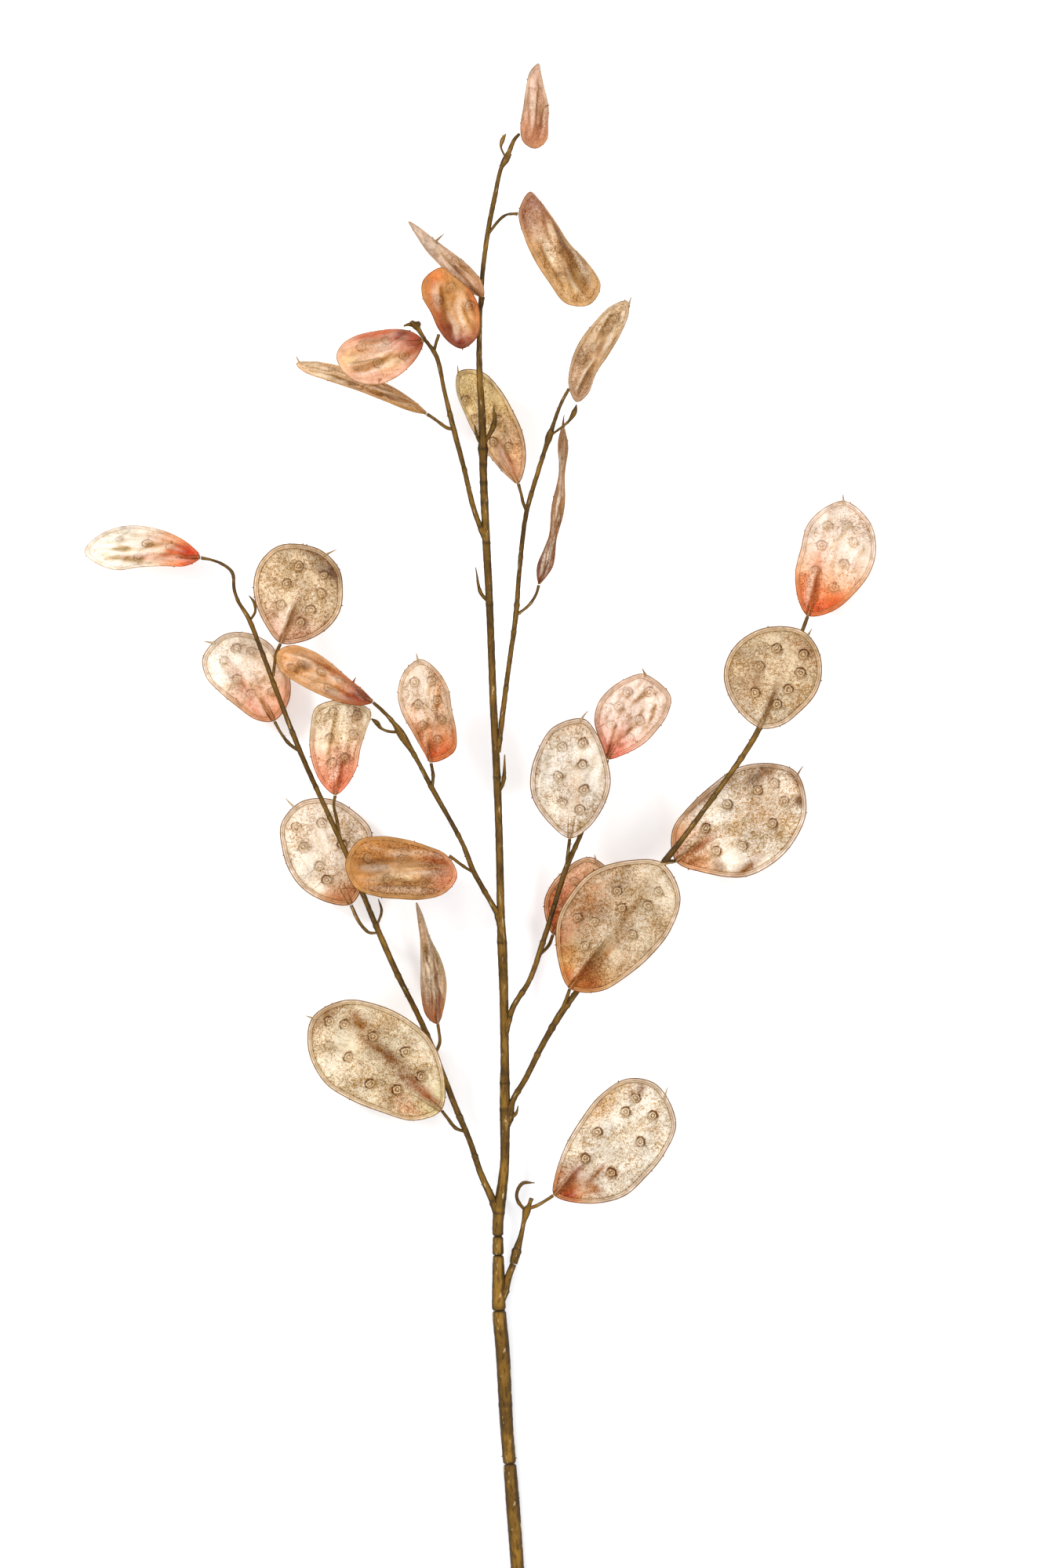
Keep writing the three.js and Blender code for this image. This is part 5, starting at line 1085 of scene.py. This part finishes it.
# %% Shape and tone of the film
SUNWARD = Vector((0.6, -0.8, 0.0))      # heights that fall this way lie towards the light
SLOPE_STEP, SHEEN_SLOPE = 0.7, 1.4      # how a slope is measured, and how much it counts
FOLD_SHADE, SHEEN_SHADE, CREASE_SHADE = (0.2, 0.2), (0.55, 0.65), (0.5, 0.45)      # how dark, how lit
CLOUD_DEPTH, FINE_DEPTH, STAIN_GRAIN = 0.2, 0.1, 0.6        # how much noise changes the tone
SEED_SHADOW, RIM_BAND_AND_HIGHLIGHT = 0.14, 0.45      # how much darker round a seed, how much paler the rim band: its own tone and painted highlight
RIM_FADE = 0.8           # mm in which the stipple fades at the rim
DOME_HEIGHT, DOME_SPREAD = 0.4, 3.6     # of the film over a seed
SHIFT_STEP = 7.3         # sets one pod's noise apart from the next
NOISES = dict(           # per millimetre along the pod and across it, and the layer of noise
    swell=(0.055, 0.055, 0), crumple=(0.16, 0.26, 3), ridge=(0.07, 0.12, 14), pleat=(0.15, 0.2, 27),
    small=(0.45, 0.5, 6), cloud=(0.12, 0.12, 1.08), fine=(0.35, 0.5, 5), gather=(0.09, 0.09, 1.89))
SWELL_HEIGHT = 0.9
ROUGH_HEIGHTS = dict(crumple=0.5, ridge=0.7, pleat=0.4, small=0.16)
SHARP = ("ridge", "pleat")              # noises that stand up in edges, not in humps


class FilmField:
    """The height, tone and stipple of one pod's film at (u, v), at a distance from its edge."""
    def __init__(self, name, pod, surface, number):
        self.look = look = {**PLAIN_LOOK, **LOOKS[name]}
        self.surface, self.film = surface, tone(*look["film"])
        blush, self.blush_strength, self.blush_reach = look["blush"]
        self.blush = tone(*blush)
        count, self.fold_height = look["folds"]
        self.stains = [(*where, tone(*colour), strength) for *where, colour, strength in look["stains"]]
        draw = random.Random(number)
        self.shift = Vector((draw.uniform(0, 90), draw.uniform(0, 90), number * SHIFT_STEP))
        self.waves = [(draw.uniform(0.7, 1.4), draw.uniform(0, 6.28), draw.uniform(0.5, 1.6),
                       draw.uniform(0, 6.28), draw.uniform(0.5, 1.0)) for _ in range(count)]
        self.seeds = [(s * surface.length, v) for s, v in pod["seeds"]]
        self.inks = [look["ink"] * (1 + 0.8 * noise.noise(Vector((u, v, number)))) for u, v in self.seeds]
        self.sunward = SUNWARD.dot(surface.along), SUNWARD.dot(surface.left)

    def uneven(self, name, u, v):
        along, across, layer = NOISES[name]
        value = noise.noise(Vector((u * along, v * across, layer)) + self.shift)
        return 0.5 - abs(value) if name in SHARP else value

    def fold(self, u, v):
        a, b = u / self.surface.length, v / self.surface.widest
        total = 0.0
        for rate, phase, bend, bend_phase, weight in self.waves:
            drift = noise.noise(Vector((a * 2.2, b * 1.3, phase)) + self.shift)
            path = b * rate * 1.7 + 0.5 * math.sin(bend * 3 * a + bend_phase) + 0.9 * drift
            total += weight * math.sin(2 * math.pi * path + phase)
        return total / math.sqrt(len(self.waves))

    def crease(self, u, v):
        """How far the creases lift the film at (u, v), and how much they light it: one side of a crease is
        bright and the other dark."""
        lift = light = 0.0
        for s0, v0, s1, v1, high, reach in self.look["creases"]:
            a, b = Vector((s0 * self.surface.length, v0)), Vector((s1 * self.surface.length, v1))
            way, to = b - a, Vector((u, v)) - a
            share = min(1, max(0, to.dot(way) / way.length_squared))
            bent = (to - way * share).length / reach
            fade = 4 * share * (1 - share) if 0 < share < 1 else 0
            lift += high * math.exp(-bent * 1.2) * fade
            side = 1 if way.x * to.y - way.y * to.x > 0 else -1
            light += math.copysign(1, high) * side * min(1, bent * 2.5) * bell(bent, 1) * fade
        return lift, light

    def height(self, u, v, edge):
        swell = SWELL_HEIGHT * self.uneven("swell", u, v)
        rough = sum(high * self.uneven(name, u, v) for name, high in ROUGH_HEIGHTS.items())
        dome = sum(math.exp(-((u - su) ** 2 + (v - sv) ** 2) / DOME_SPREAD) for su, sv in self.seeds)
        folds = self.fold_height * self.fold(u, v) + self.crease(u, v)[0]
        return ease((edge - 1) / 6) * (folds + swell + self.look["crumple"] * rough) + DOME_HEIGHT * dome

    def sheen(self, u, v, edge):
        """How much a spot of the film leans to the light, from -1 to 1; it sets the painted highlight and
        shade.
        """
        step = SLOPE_STEP
        along = self.height(u + step, v, edge) - self.height(u - step, v, edge)
        across = self.height(u, v + step, edge) - self.height(u, v - step, edge)
        return max(-1, min(1, (along * self.sunward[0] + across * self.sunward[1]) / step * SHEEN_SLOPE))

    def seed_at(self, u, v):
        """The way from the nearest seed, and how strongly that seed is drawn, where there is one near."""
        away = min(((u - su, v - sv, ink) for (su, sv), ink in zip(self.seeds, self.inks)),
                   key=lambda d: math.hypot(d[0], d[1]), default=FAR_OFF)
        return away if math.hypot(*away[:2]) < SEED_REACH else FAR_OFF

    def rim_weight(self, edge):
        """How much of the double rim shows. The outermost line is never quite lost."""
        return max(self.look["rim"], OUTER_LINE if edge < OUTER_REACH else 0)

    def tone(self, u, v, edge):
        cloud, fine = self.uneven("cloud", u, v), self.uneven("fine", u, v)
        spread = bell(max(0.0, u / self.surface.length + 0.1 * cloud), self.blush_reach)
        colour = dyed(self.film, self.blush, min(1, self.blush_strength * spread))
        for share, side, reach, width, stain, strength in self.stains:
            du, dv = (u - share * self.surface.length) / reach, (v - side) / width
            amount = strength * bell(math.hypot(du, dv), 1) * (1 + STAIN_GRAIN * fine)
            colour = colour.lerp(stain, min(1, max(0, amount)))
        colour = colour * (1 + CLOUD_DEPTH * cloud + FINE_DEPTH * fine)
        # Fold valleys are darker, partly the thicker film's own brown and partly painted shade; ridges get
        # painted light.
        lie = self.fold(u, v) * min(1, self.fold_height * 1.4) * ease(edge / 4)
        colour = darker(colour, 1 - FOLD_SHADE[0] * ease(-lie)).lerp(LIT, FOLD_SHADE[1] * ease(lie - 0.25))
        # Painted highlight and painted shade by slope: spots that lean SUNWARD are lighter, the others
        # darker.
        colour = shaded(colour, self.sheen(u, v, edge) * self.look["sheen"], *SHEEN_SHADE)
        # Painted light on one side of each crease and painted shade on the other.
        colour = shaded(colour, self.crease(u, v)[1] * ease(edge / 3), *CREASE_SHADE)
        away = self.seed_at(u, v)
        colour = darker(colour, 1 - SEED_SHADOW * away[2] * bell(math.hypot(*away[:2]), SEED_REACH))
        # Rim band: paler, own tone plus painted highlight; dark lines: own brown plus painted shade in
        # grooves.
        banded = colour.lerp(RIM_PALE, RIM_BAND_AND_HIGHLIGHT * self.look["rim"] * (1 - ease((edge - RIM_WIDTH) / 0.4)))
        shade = (rim_shade(edge) - 1) * self.rim_weight(edge)
        return darker(banded, 1 + shade + 0.12 * fine * (edge < RIM_WIDTH))

    def stipple(self, u, v, edge):
        gathered = max(0.0, self.look["stipple"] * 0.55 * (1 + self.uneven("gather", u, v)))
        return gathered * ease((edge - RIM_WIDTH + RIM_FADE) / RIM_FADE)


def add_film(draft, surface, field, outline):
    centre = middle_of(outline)
    reach = min((p - centre).length for p in outline)
    rings = [(inset(outline, away), away) for away, _ in RIM_SHADES]
    start, innermost = RIM_SHADES[-1][0], rings[-1][0]
    for k in range(1, INNER_RINGS):
        share = k / INNER_RINGS
        rings.append(([q.lerp(centre, share) for q in innermost], start + share * (reach - start)))
    tones = {}                          # both sheets have the same tone at the same spot

    def put_down(flat, edge, side):
        u, v = flat.x, flat.y
        if (u, v) not in tones:
            tones[u, v] = field.tone(u, v, edge)
        point, _, normal = surface.at(u, v, field.height(u, v, edge), side * FILM_HALF)
        return draft.add(point, FACES, tones[u, v], stipple=field.stipple(u, v, edge), facing=normal,
                         grain_at=(u + field.shift.x, v, field.shift.z), seed_at=field.seed_at(u, v))

    shared = None                       # the two sheets share the outline's vertices
    for face in (1, -1):
        ids = [shared] if shared else []
        for k in range(len(ids), len(rings)):
            ids.append([put_down(flat, rings[k][1], face * min(k, 2) / 2) for flat in rings[k][0]])
        shared = ids[0]
        middle = put_down(centre, reach, face)
        for j in range(len(outline)):
            n = (j + 1) % len(outline)
            quads = [(a[j], a[n], b[n], b[j]) for a, b in zip(ids, ids[1:])]
            for polygon in quads + [(ids[-1][j], ids[-1][n], middle)]:
                draft.faces.append(polygon if face < 0 else polygon[::-1])


# %% [markdown]
# ## Rim, threads, fold and beak
# The rim is a double line: a bead on the edge and a fine welt inside it. Each seed hangs on a thread from
# the nearer side of the rim. The fold at the base narrows into the film, and the beak is a bent spike.

# %% Relief paths of a pod
NUBS_PER_POINT = 0.07    # small moulding nubs for each point of the outline
# The fold's middle line is lighter as painted highlight on its ridge; the side lines are its own brown
# deepened as painted shade.
FOLD_LINES = (           # mm to the left, half the thickness, how light
    (0.95, 0.42, 0.6), (0.1, 0.34, 1.12), (-0.75, 0.36, 0.66))
BEAK_BEND, BEAK_ROOT = 0.14, 1.2        # how a beak curls, and how deep it starts


def shares_of(steps):
    return [k / steps for k in range(steps + 1)]


def add_rim(draft, surface, field, outline, draw):
    for distance, thick, shade in RIM_LINES:
        weight = field.rim_weight(distance)
        # Each line keeps its own brown, deepened as painted shade in grooves or lifted as painted highlight.
        thick, shade = thick * (0.4 + 0.6 * weight), 1 + (shade - 1) * weight
        flats = inset(outline, distance)
        points = [surface.at(p.x, p.y, field.height(p.x, p.y, distance))[0] for p in flats]
        sizes = [thick * (1 + 0.4 * noise.noise(p * 0.7 + field.shift)) for p in points]
        colours = [darker(field.tone(p.x, p.y, 0.8), shade * (1 + 0.3 * noise.noise(p * 0.8 + field.shift)))
                   for p in flats]
        draft.path(points, sizes, colours, closed=True, stipple=0.05)
    centre = middle_of(outline)
    for _ in range(round(len(outline) * NUBS_PER_POINT)):
        j = draw.randrange(len(outline))
        p = outline[j].lerp(outline[(j + 1) % len(outline)], draw.random())
        outward = (p - centre).normalized()
        point, across, normal = surface.at(p.x, p.y)
        facing = surface.along * outward.x + across * outward.y + normal * draw.uniform(-0.5, 0.5)
        draft.add(point, NUB, darker(field.tone(p.x, p.y, 0), 0.7), facing=facing.normalized())


def side_width(pod, share, side):
    widths = pod["left"] if side > 0 else pod["right"]
    for k, (low, high) in enumerate(zip(WIDTH_STATIONS, WIDTH_STATIONS[1:])):
        if share <= high:
            return widths[k] + (widths[k + 1] - widths[k]) * max(0, (share - low) / (high - low))
    return widths[-1]


def add_seeds(draft, surface, field, draw):
    for (u, v), ink in zip(field.seeds, field.inks):
        drawn, side = min(1, ink), 1 if v > 0 else -1
        point, across, normal = surface.at(u, v, field.height(u, v, INNERMOST))
        shade = darker(field.tone(u, v, INNERMOST), 1 - draw.uniform(0, 0.18) * drawn)
        draft.add(point - normal * 0.02, SEED, shade.lerp(GOLD, 0.6 * drawn), facing=normal, stipple=0.6,
                  ahead=surface.along * math.cos(v) + across * math.sin(v))
        start = v + side * RING_RADIUS
        edge = side * (side_width(surface.pod, u / surface.length, side) - RIM_WIDTH)
        if abs(edge) < abs(v) + 3:
            continue
        back, shares = draw.uniform(-4, 2), shares_of(8)
        flats = [(u + back * ease(s) + draw.uniform(-0.5, 0.5), start + (edge - start) * s) for s in shares]
        points = [surface.at(a, b, field.height(a, b, INNERMOST * (1 - s)) + 0.08)[0]
                  for s, (a, b) in zip(shares, flats)]
        colours = [darker(field.tone(a, b, INNERMOST), 1 - 0.26 * drawn) for a, b in flats]
        draft.path(points, [0.14] * len(points), colours, stipple=0.6)


def add_fold(draft, surface, field):
    reach, shares = field.look["keel"] * surface.length, shares_of(14)
    # Painted highlight on the fold's ridge and painted shade beside it.
    for side, thick, shade in FOLD_LINES:
        flats = [(0.6 + reach * s, side * (1 + 0.8 * s)) for s in shares]
        lifts = [field.height(u, v, INNERMOST * s) + 0.35 * (1 - s) ** 0.5
                 for s, (u, v) in zip(shares, flats)]
        draft.path([surface.at(u, v, lift)[0] for (u, v), lift in zip(flats, lifts)],
                   [thick * (1 - 0.8 * s ** 1.5) for s in shares],
                   [darker(field.tone(u, v, INNERMOST).lerp(GOLD, 0.4), shade + (1 - shade) * s)
                    for s, (u, v) in zip(shares, flats)], stipple=0.4)


def add_neck(draft, surface):
    """The pale end of the pod that its twig holds."""
    shares = shares_of(6)
    draft.path([surface.at(NECK_FROM + (NECK_TO - NECK_FROM) * s, 0)[0] for s in shares],
               [0.3 + 0.5 * ease(s) for s in shares], [NECK_TONE] * len(shares), stipple=0.3)


def add_beak(draft, surface, field, share, v, degrees, length):
    u, turn, shares = share * surface.length, math.radians(degrees), shares_of(8)
    start = surface.at(u, v)[0]
    ahead = surface.along * math.cos(turn) + surface.left * math.sin(turn)
    bend = ahead.cross(surface.up) * BEAK_BEND
    draft.path([start + ahead * (length * s - BEAK_ROOT * (1 - s)) + bend * length * s * s for s in shares],
               [0.14 + 0.66 * (1 - s) ** 1.1 for s in shares],
               [darker(field.tone(u, v, INNERMOST), 0.85 - 0.4 * s) for s in shares], stipple=0.3)


# %% Build every pod
pieces = {}
for number, (name, pod) in enumerate(PODS.items(), 1):
    surface, draft, draw = PodSurface(pod), Draft(), random.Random(100 + number)
    field, outline = FilmField(name, pod, surface, number), surface.outline(OUTLINE_POINTS)
    add_film(draft, surface, field, outline)
    add_rim(draft, surface, field, outline, draw)
    add_seeds(draft, surface, field, draw)
    if "seat" not in pod:               # a seated pod hangs by a spot beside its base
        add_fold(draft, surface, field)
        add_neck(draft, surface)
    if "beak" in pod:
        add_beak(draft, surface, field, *pod["beak"])
    slot = field.look["slot"]
    pieces[name] = finish_piece(name, draft, POD_RELIEF, slot, 50, Seed=number, Material=FILMS[slot])
print("pods:", len(pieces), "with", sum(len(p.data.polygons) for p in pieces.values()), "faces")

# %% [markdown]
# ## Stems
# Each stem is swept along the same route as its solid. Joints are dark rings where one sleeve meets the
# next or a branch was plugged in, each with a slight collar. Where a sleeve ends, its skin draws in to a
# narrow dark core, the spigot that holds the two together.

# %% Knots, twigs and tones of the stems
KNOT_RISE, KNOT_REACH = 0.2, 0.9
SCAR_DEPTH, SCAR_REACH, SCAR_AFTER = 0.05, 0.6, 1.3     # a dark scar follows each knot
COLLAR_RISE, COLLAR_REACH, JOINT_REACH = 0.07, 0.8, 0.7
CORE_DEPTH, CORE_REACH, CORE_HALF = 0.22, 0.55, 1.5     # the drawn-in end of a sleeve, and the spigot
STEM_NOISE = 0.07        # per millimetre
THINNEST, TWIG_END = 0.12, 0.7          # half widths


def main_tone(point, fine):
    colour = STEM_OLIVE.lerp(STEM_LIGHT, 0.4 + 0.9 * fine + (0.3 if point.y < SLEEVE_JOINTS[0] else 0))
    for y in JOINT_RINGS:
        colour = colour.lerp(STEM_DARK, 0.9 * bell(point.y - y, JOINT_REACH))
    return colour


def knots_of(line):
    """Knots stand at uneven spaces along a stem; each is told by its way along the stem."""
    total = sum((b.xyz - a.xyz).length for a, b in zip(line, line[1:]))
    draw = random.Random(round(line[0].x * 10 + line[0].y))
    knots, way = [], draw.uniform(5, 12)
    while way < total - 5:
        knots.append(way)
        way += draw.uniform(*KNOT_SPACES)
    return knots


def above_table(place, size):
    return Vector((place.x, place.y, max(place.z, size + 0.1)))


def add_stem(draft, route):
    line = stem_line(route)
    knots, way, before = knots_of(line), 0.0, line[0].xyz
    points, sizes, colours = [], [], []
    for p in line:
        place, fine = p.xyz, noise.noise(p.xyz * STEM_NOISE)
        way, before = way + (place - before).length, place
        knot = sum(bell(way - k, KNOT_REACH) for k in knots)
        scar = sum(bell(way - k - SCAR_AFTER, SCAR_REACH) for k in knots)
        rise = 1 + KNOT_RISE * knot - SCAR_DEPTH * scar + 0.06 * fine
        sizes.append(max(THINNEST, p.w) * STEM_FULL * rise)
        points.append(above_table(place, sizes[-1]))
        colour = STEM_OLIVE.lerp(STEM_LIGHT, 0.35 + 0.8 * fine)
        colours.append(colour.lerp(STEM_LIGHT, 0.3 * knot).lerp(STEM_DARK, min(1, 0.8 * scar)))
    draft.path(points, sizes, colours)


def stem_of(name):
    """pod_top_left_1 grows on top_left; only the crown's pods grow on the main stem itself."""
    stem = name[len("pod_"):-len("_1")]
    return "main_stem" if stem == "crown" else stem


def to_seat(route, pod):
    surface, (share, v) = PodSurface(pod), pod.get("seat", (0, 0))
    end, seat = Vector(route[-1][:3]), surface.at(share * surface.length, v)[0]
    stop = seat - (seat - end).normalized() * (SEAT_GAP + 0.2)
    return [*route, (*stop, TWIG_END)]


def add_twigs(draft, stem, route):
    """The route, up to the pod that it carries at its end, and all buds and twigs that grow on the stem."""
    pods = [pod for name, pod in PODS.items() if stem_of(name) == stem]
    last = [pod for pod in pods if "twig" not in pod and not pod.get("perched")]
    add_stem(draft, to_seat(route, last[0]) if last else route)
    for bud in BUDS.get(stem, ()):
        add_stem(draft, bud)
    for pod in pods:
        if "twig" in pod:
            add_stem(draft, to_seat(pod["twig"], pod))


# %% Sleeves of the main stem
def between(line, low, high):
    """The stretch of a line of points from y = low to y = high, cut exactly there."""
    part = [line[0].copy()] if line[0].y < high else []
    for a, b in zip(line, line[1:]):
        part += [a.lerp(b, (y - a.y) / (b.y - a.y)) for y in (high, low) if a.y > y >= b.y]
        if low < b.y < high:
            part.append(b.copy())
    return part


SLEEVES = ("main_stem", "neck_sleeve", "fork_sleeve", "lower_sleeve", "foot_sleeve")
NO_JOINT = 999           # beyond the stem's own ends
main_line = stem_line(MAIN_ROUTE)
ends = zip(SLEEVES, (*SLEEVE_JOINTS, -NO_JOINT), (NO_JOINT, *SLEEVE_JOINTS))
for index, (name, joint, joint_above) in enumerate(ends):
    part = between(main_line, joint + SEAT_GAP / 2, joint_above - SEAT_GAP / 2)
    draft, points, sizes, colours = Draft(), [], [], []
    for p in part:
        place, full = p.xyz, p.w * STEM_FULL
        to_joint = min(abs(place.y - y) for y in SLEEVE_JOINTS)
        collar = sum(bell(place.y - y, COLLAR_REACH) for y in JOINT_RINGS)
        points.append(above_table(place, full))
        sizes.append(full * (1 - CORE_DEPTH * bell(to_joint, CORE_REACH)) * (1 + COLLAR_RISE * collar))
        colour = main_tone(place, noise.noise(place * STEM_NOISE))
        colours.append(colour.lerp(STEM_DARK, 0.95 * bell(to_joint, 0.8)))
    draft.path(points, sizes, colours)
    if name == "main_stem":
        add_twigs(draft, name, TIP_ROUTE)
    if name == "fork_sleeve":
        add_stem(draft, FORK_ARM_ROUTE)
    if index:                           # the spigot that plugs it into the sleeve above
        low = next(p for p in main_line if p.y <= joint_above - 2)
        high = [p for p in main_line if p.y >= joint_above + 3][-1]
        draft.path([low.xyz, high.xyz], [CORE_HALF] * 2, [STEM_DARK] * 2)
    pieces[name] = finish_piece(name, draft, STEM_SKIN, "stem", 40, Seed=index + 40, Material=STEM, Sides=18)
print("sleeves:", {name: len(pieces[name].data.polygons) for name in SLEEVES})

# %% Side branches
for index, (name, route) in enumerate(BRANCH_ROUTES.items()):
    draft, node = Draft(), "branch_" + name
    add_twigs(draft, name, route)
    pieces[node] = finish_piece(node, draft, STEM_SKIN, "stem", 40, Seed=index + 60, Material=STEM, Sides=12)
print("branches:", {name: len(pieces["branch_" + name].data.polygons) for name in BRANCH_ROUTES})

# %% [markdown]
# ## Where it lies, the light and the camera
# The spray lies on a plain, almost white table. Big soft lights on both sides and a bright surround keep
# its shadows faint. The camera looks straight down from far away through a long lens, so that the raised
# crown isn't drawn larger than the low foot.

# %% Table
TABLE_HALF = 3.0         # metres from its middle to its sides
corners = [(x * TABLE_HALF, y * TABLE_HALF, 0) for x, y in ((-1, -1), (1, -1), (1, 1), (-1, 1))]
table_mesh = bpy.data.meshes.new("table")
table_mesh.from_pydata(corners, [], [(0, 1, 2, 3)])
table = link(bpy.data.objects.new("table", table_mesh))
table_white = bpy.data.materials.new("table_white")
table_white.use_nodes = True
shader = table_white.node_tree.nodes["Principled BSDF"]
for label, value in (("Base Color", (0.93, 0.93, 0.94, 1)), ("Roughness", 0.9), ("Specular IOR Level", 0.1)):
    shader.inputs[label].default_value = value
table_mesh.materials.append(table_white)
print("table", 2 * TABLE_HALF, "m wide")

# %% Light
bpy.context.scene.view_settings.view_transform = "Standard"
world = bpy.data.worlds.new("surround")
world.use_nodes = True
sky = world.node_tree
way = put(sky, "ShaderNodeTexCoord").outputs["Generated"]
way_up = put(sky, "ShaderNodeSeparateXYZ", {0: way}).outputs["Z"]
send(sky, sky.nodes["Background"].inputs, Strength=ranged(sky, way_up, 0.0, 0.8, 0.45, 1.55))
sky.nodes["Background"].inputs["Color"].default_value = (1.0, 1.0, 1.0, 1)
bpy.context.scene.world = world
WINDOWS = (              # place and width in metres, power in watts
    ("left_window", (-1.3, 0.9, 1.6), 0.5, 22), ("right_window", (1.5, -0.2, 1.4), 0.8, 8))
for name, place, size, power in WINDOWS:
    lamp = bpy.data.lights.new(name, "AREA")
    lamp.shape, lamp.size, lamp.energy = "DISK", size, power
    light = link(bpy.data.objects.new(name, lamp))
    light.location = place
    light.rotation_euler = (-Vector(place)).to_track_quat("-Z", "Y").to_euler()
    print(name, power, "W")

# %% Camera
FRAME_HEIGHT = 700       # millimetres seen from the top of the image to its bottom
CAMERA_HEIGHT = 9.0      # metres
SENSOR = 36
LOOK_AT = (18.7, 51.8, 28)
camera_data = bpy.data.cameras.new("camera")
camera_data.sensor_fit, camera_data.sensor_height = "VERTICAL", SENSOR
camera_data.lens = SENSOR * CAMERA_HEIGHT / (FRAME_HEIGHT * MM)
camera = link(bpy.data.objects.new("camera", camera_data))
camera.location = Vector(LOOK_AT) * MM + UP * CAMERA_HEIGHT
bpy.context.scene.camera = camera
print("lens", round(camera_data.lens), "mm")
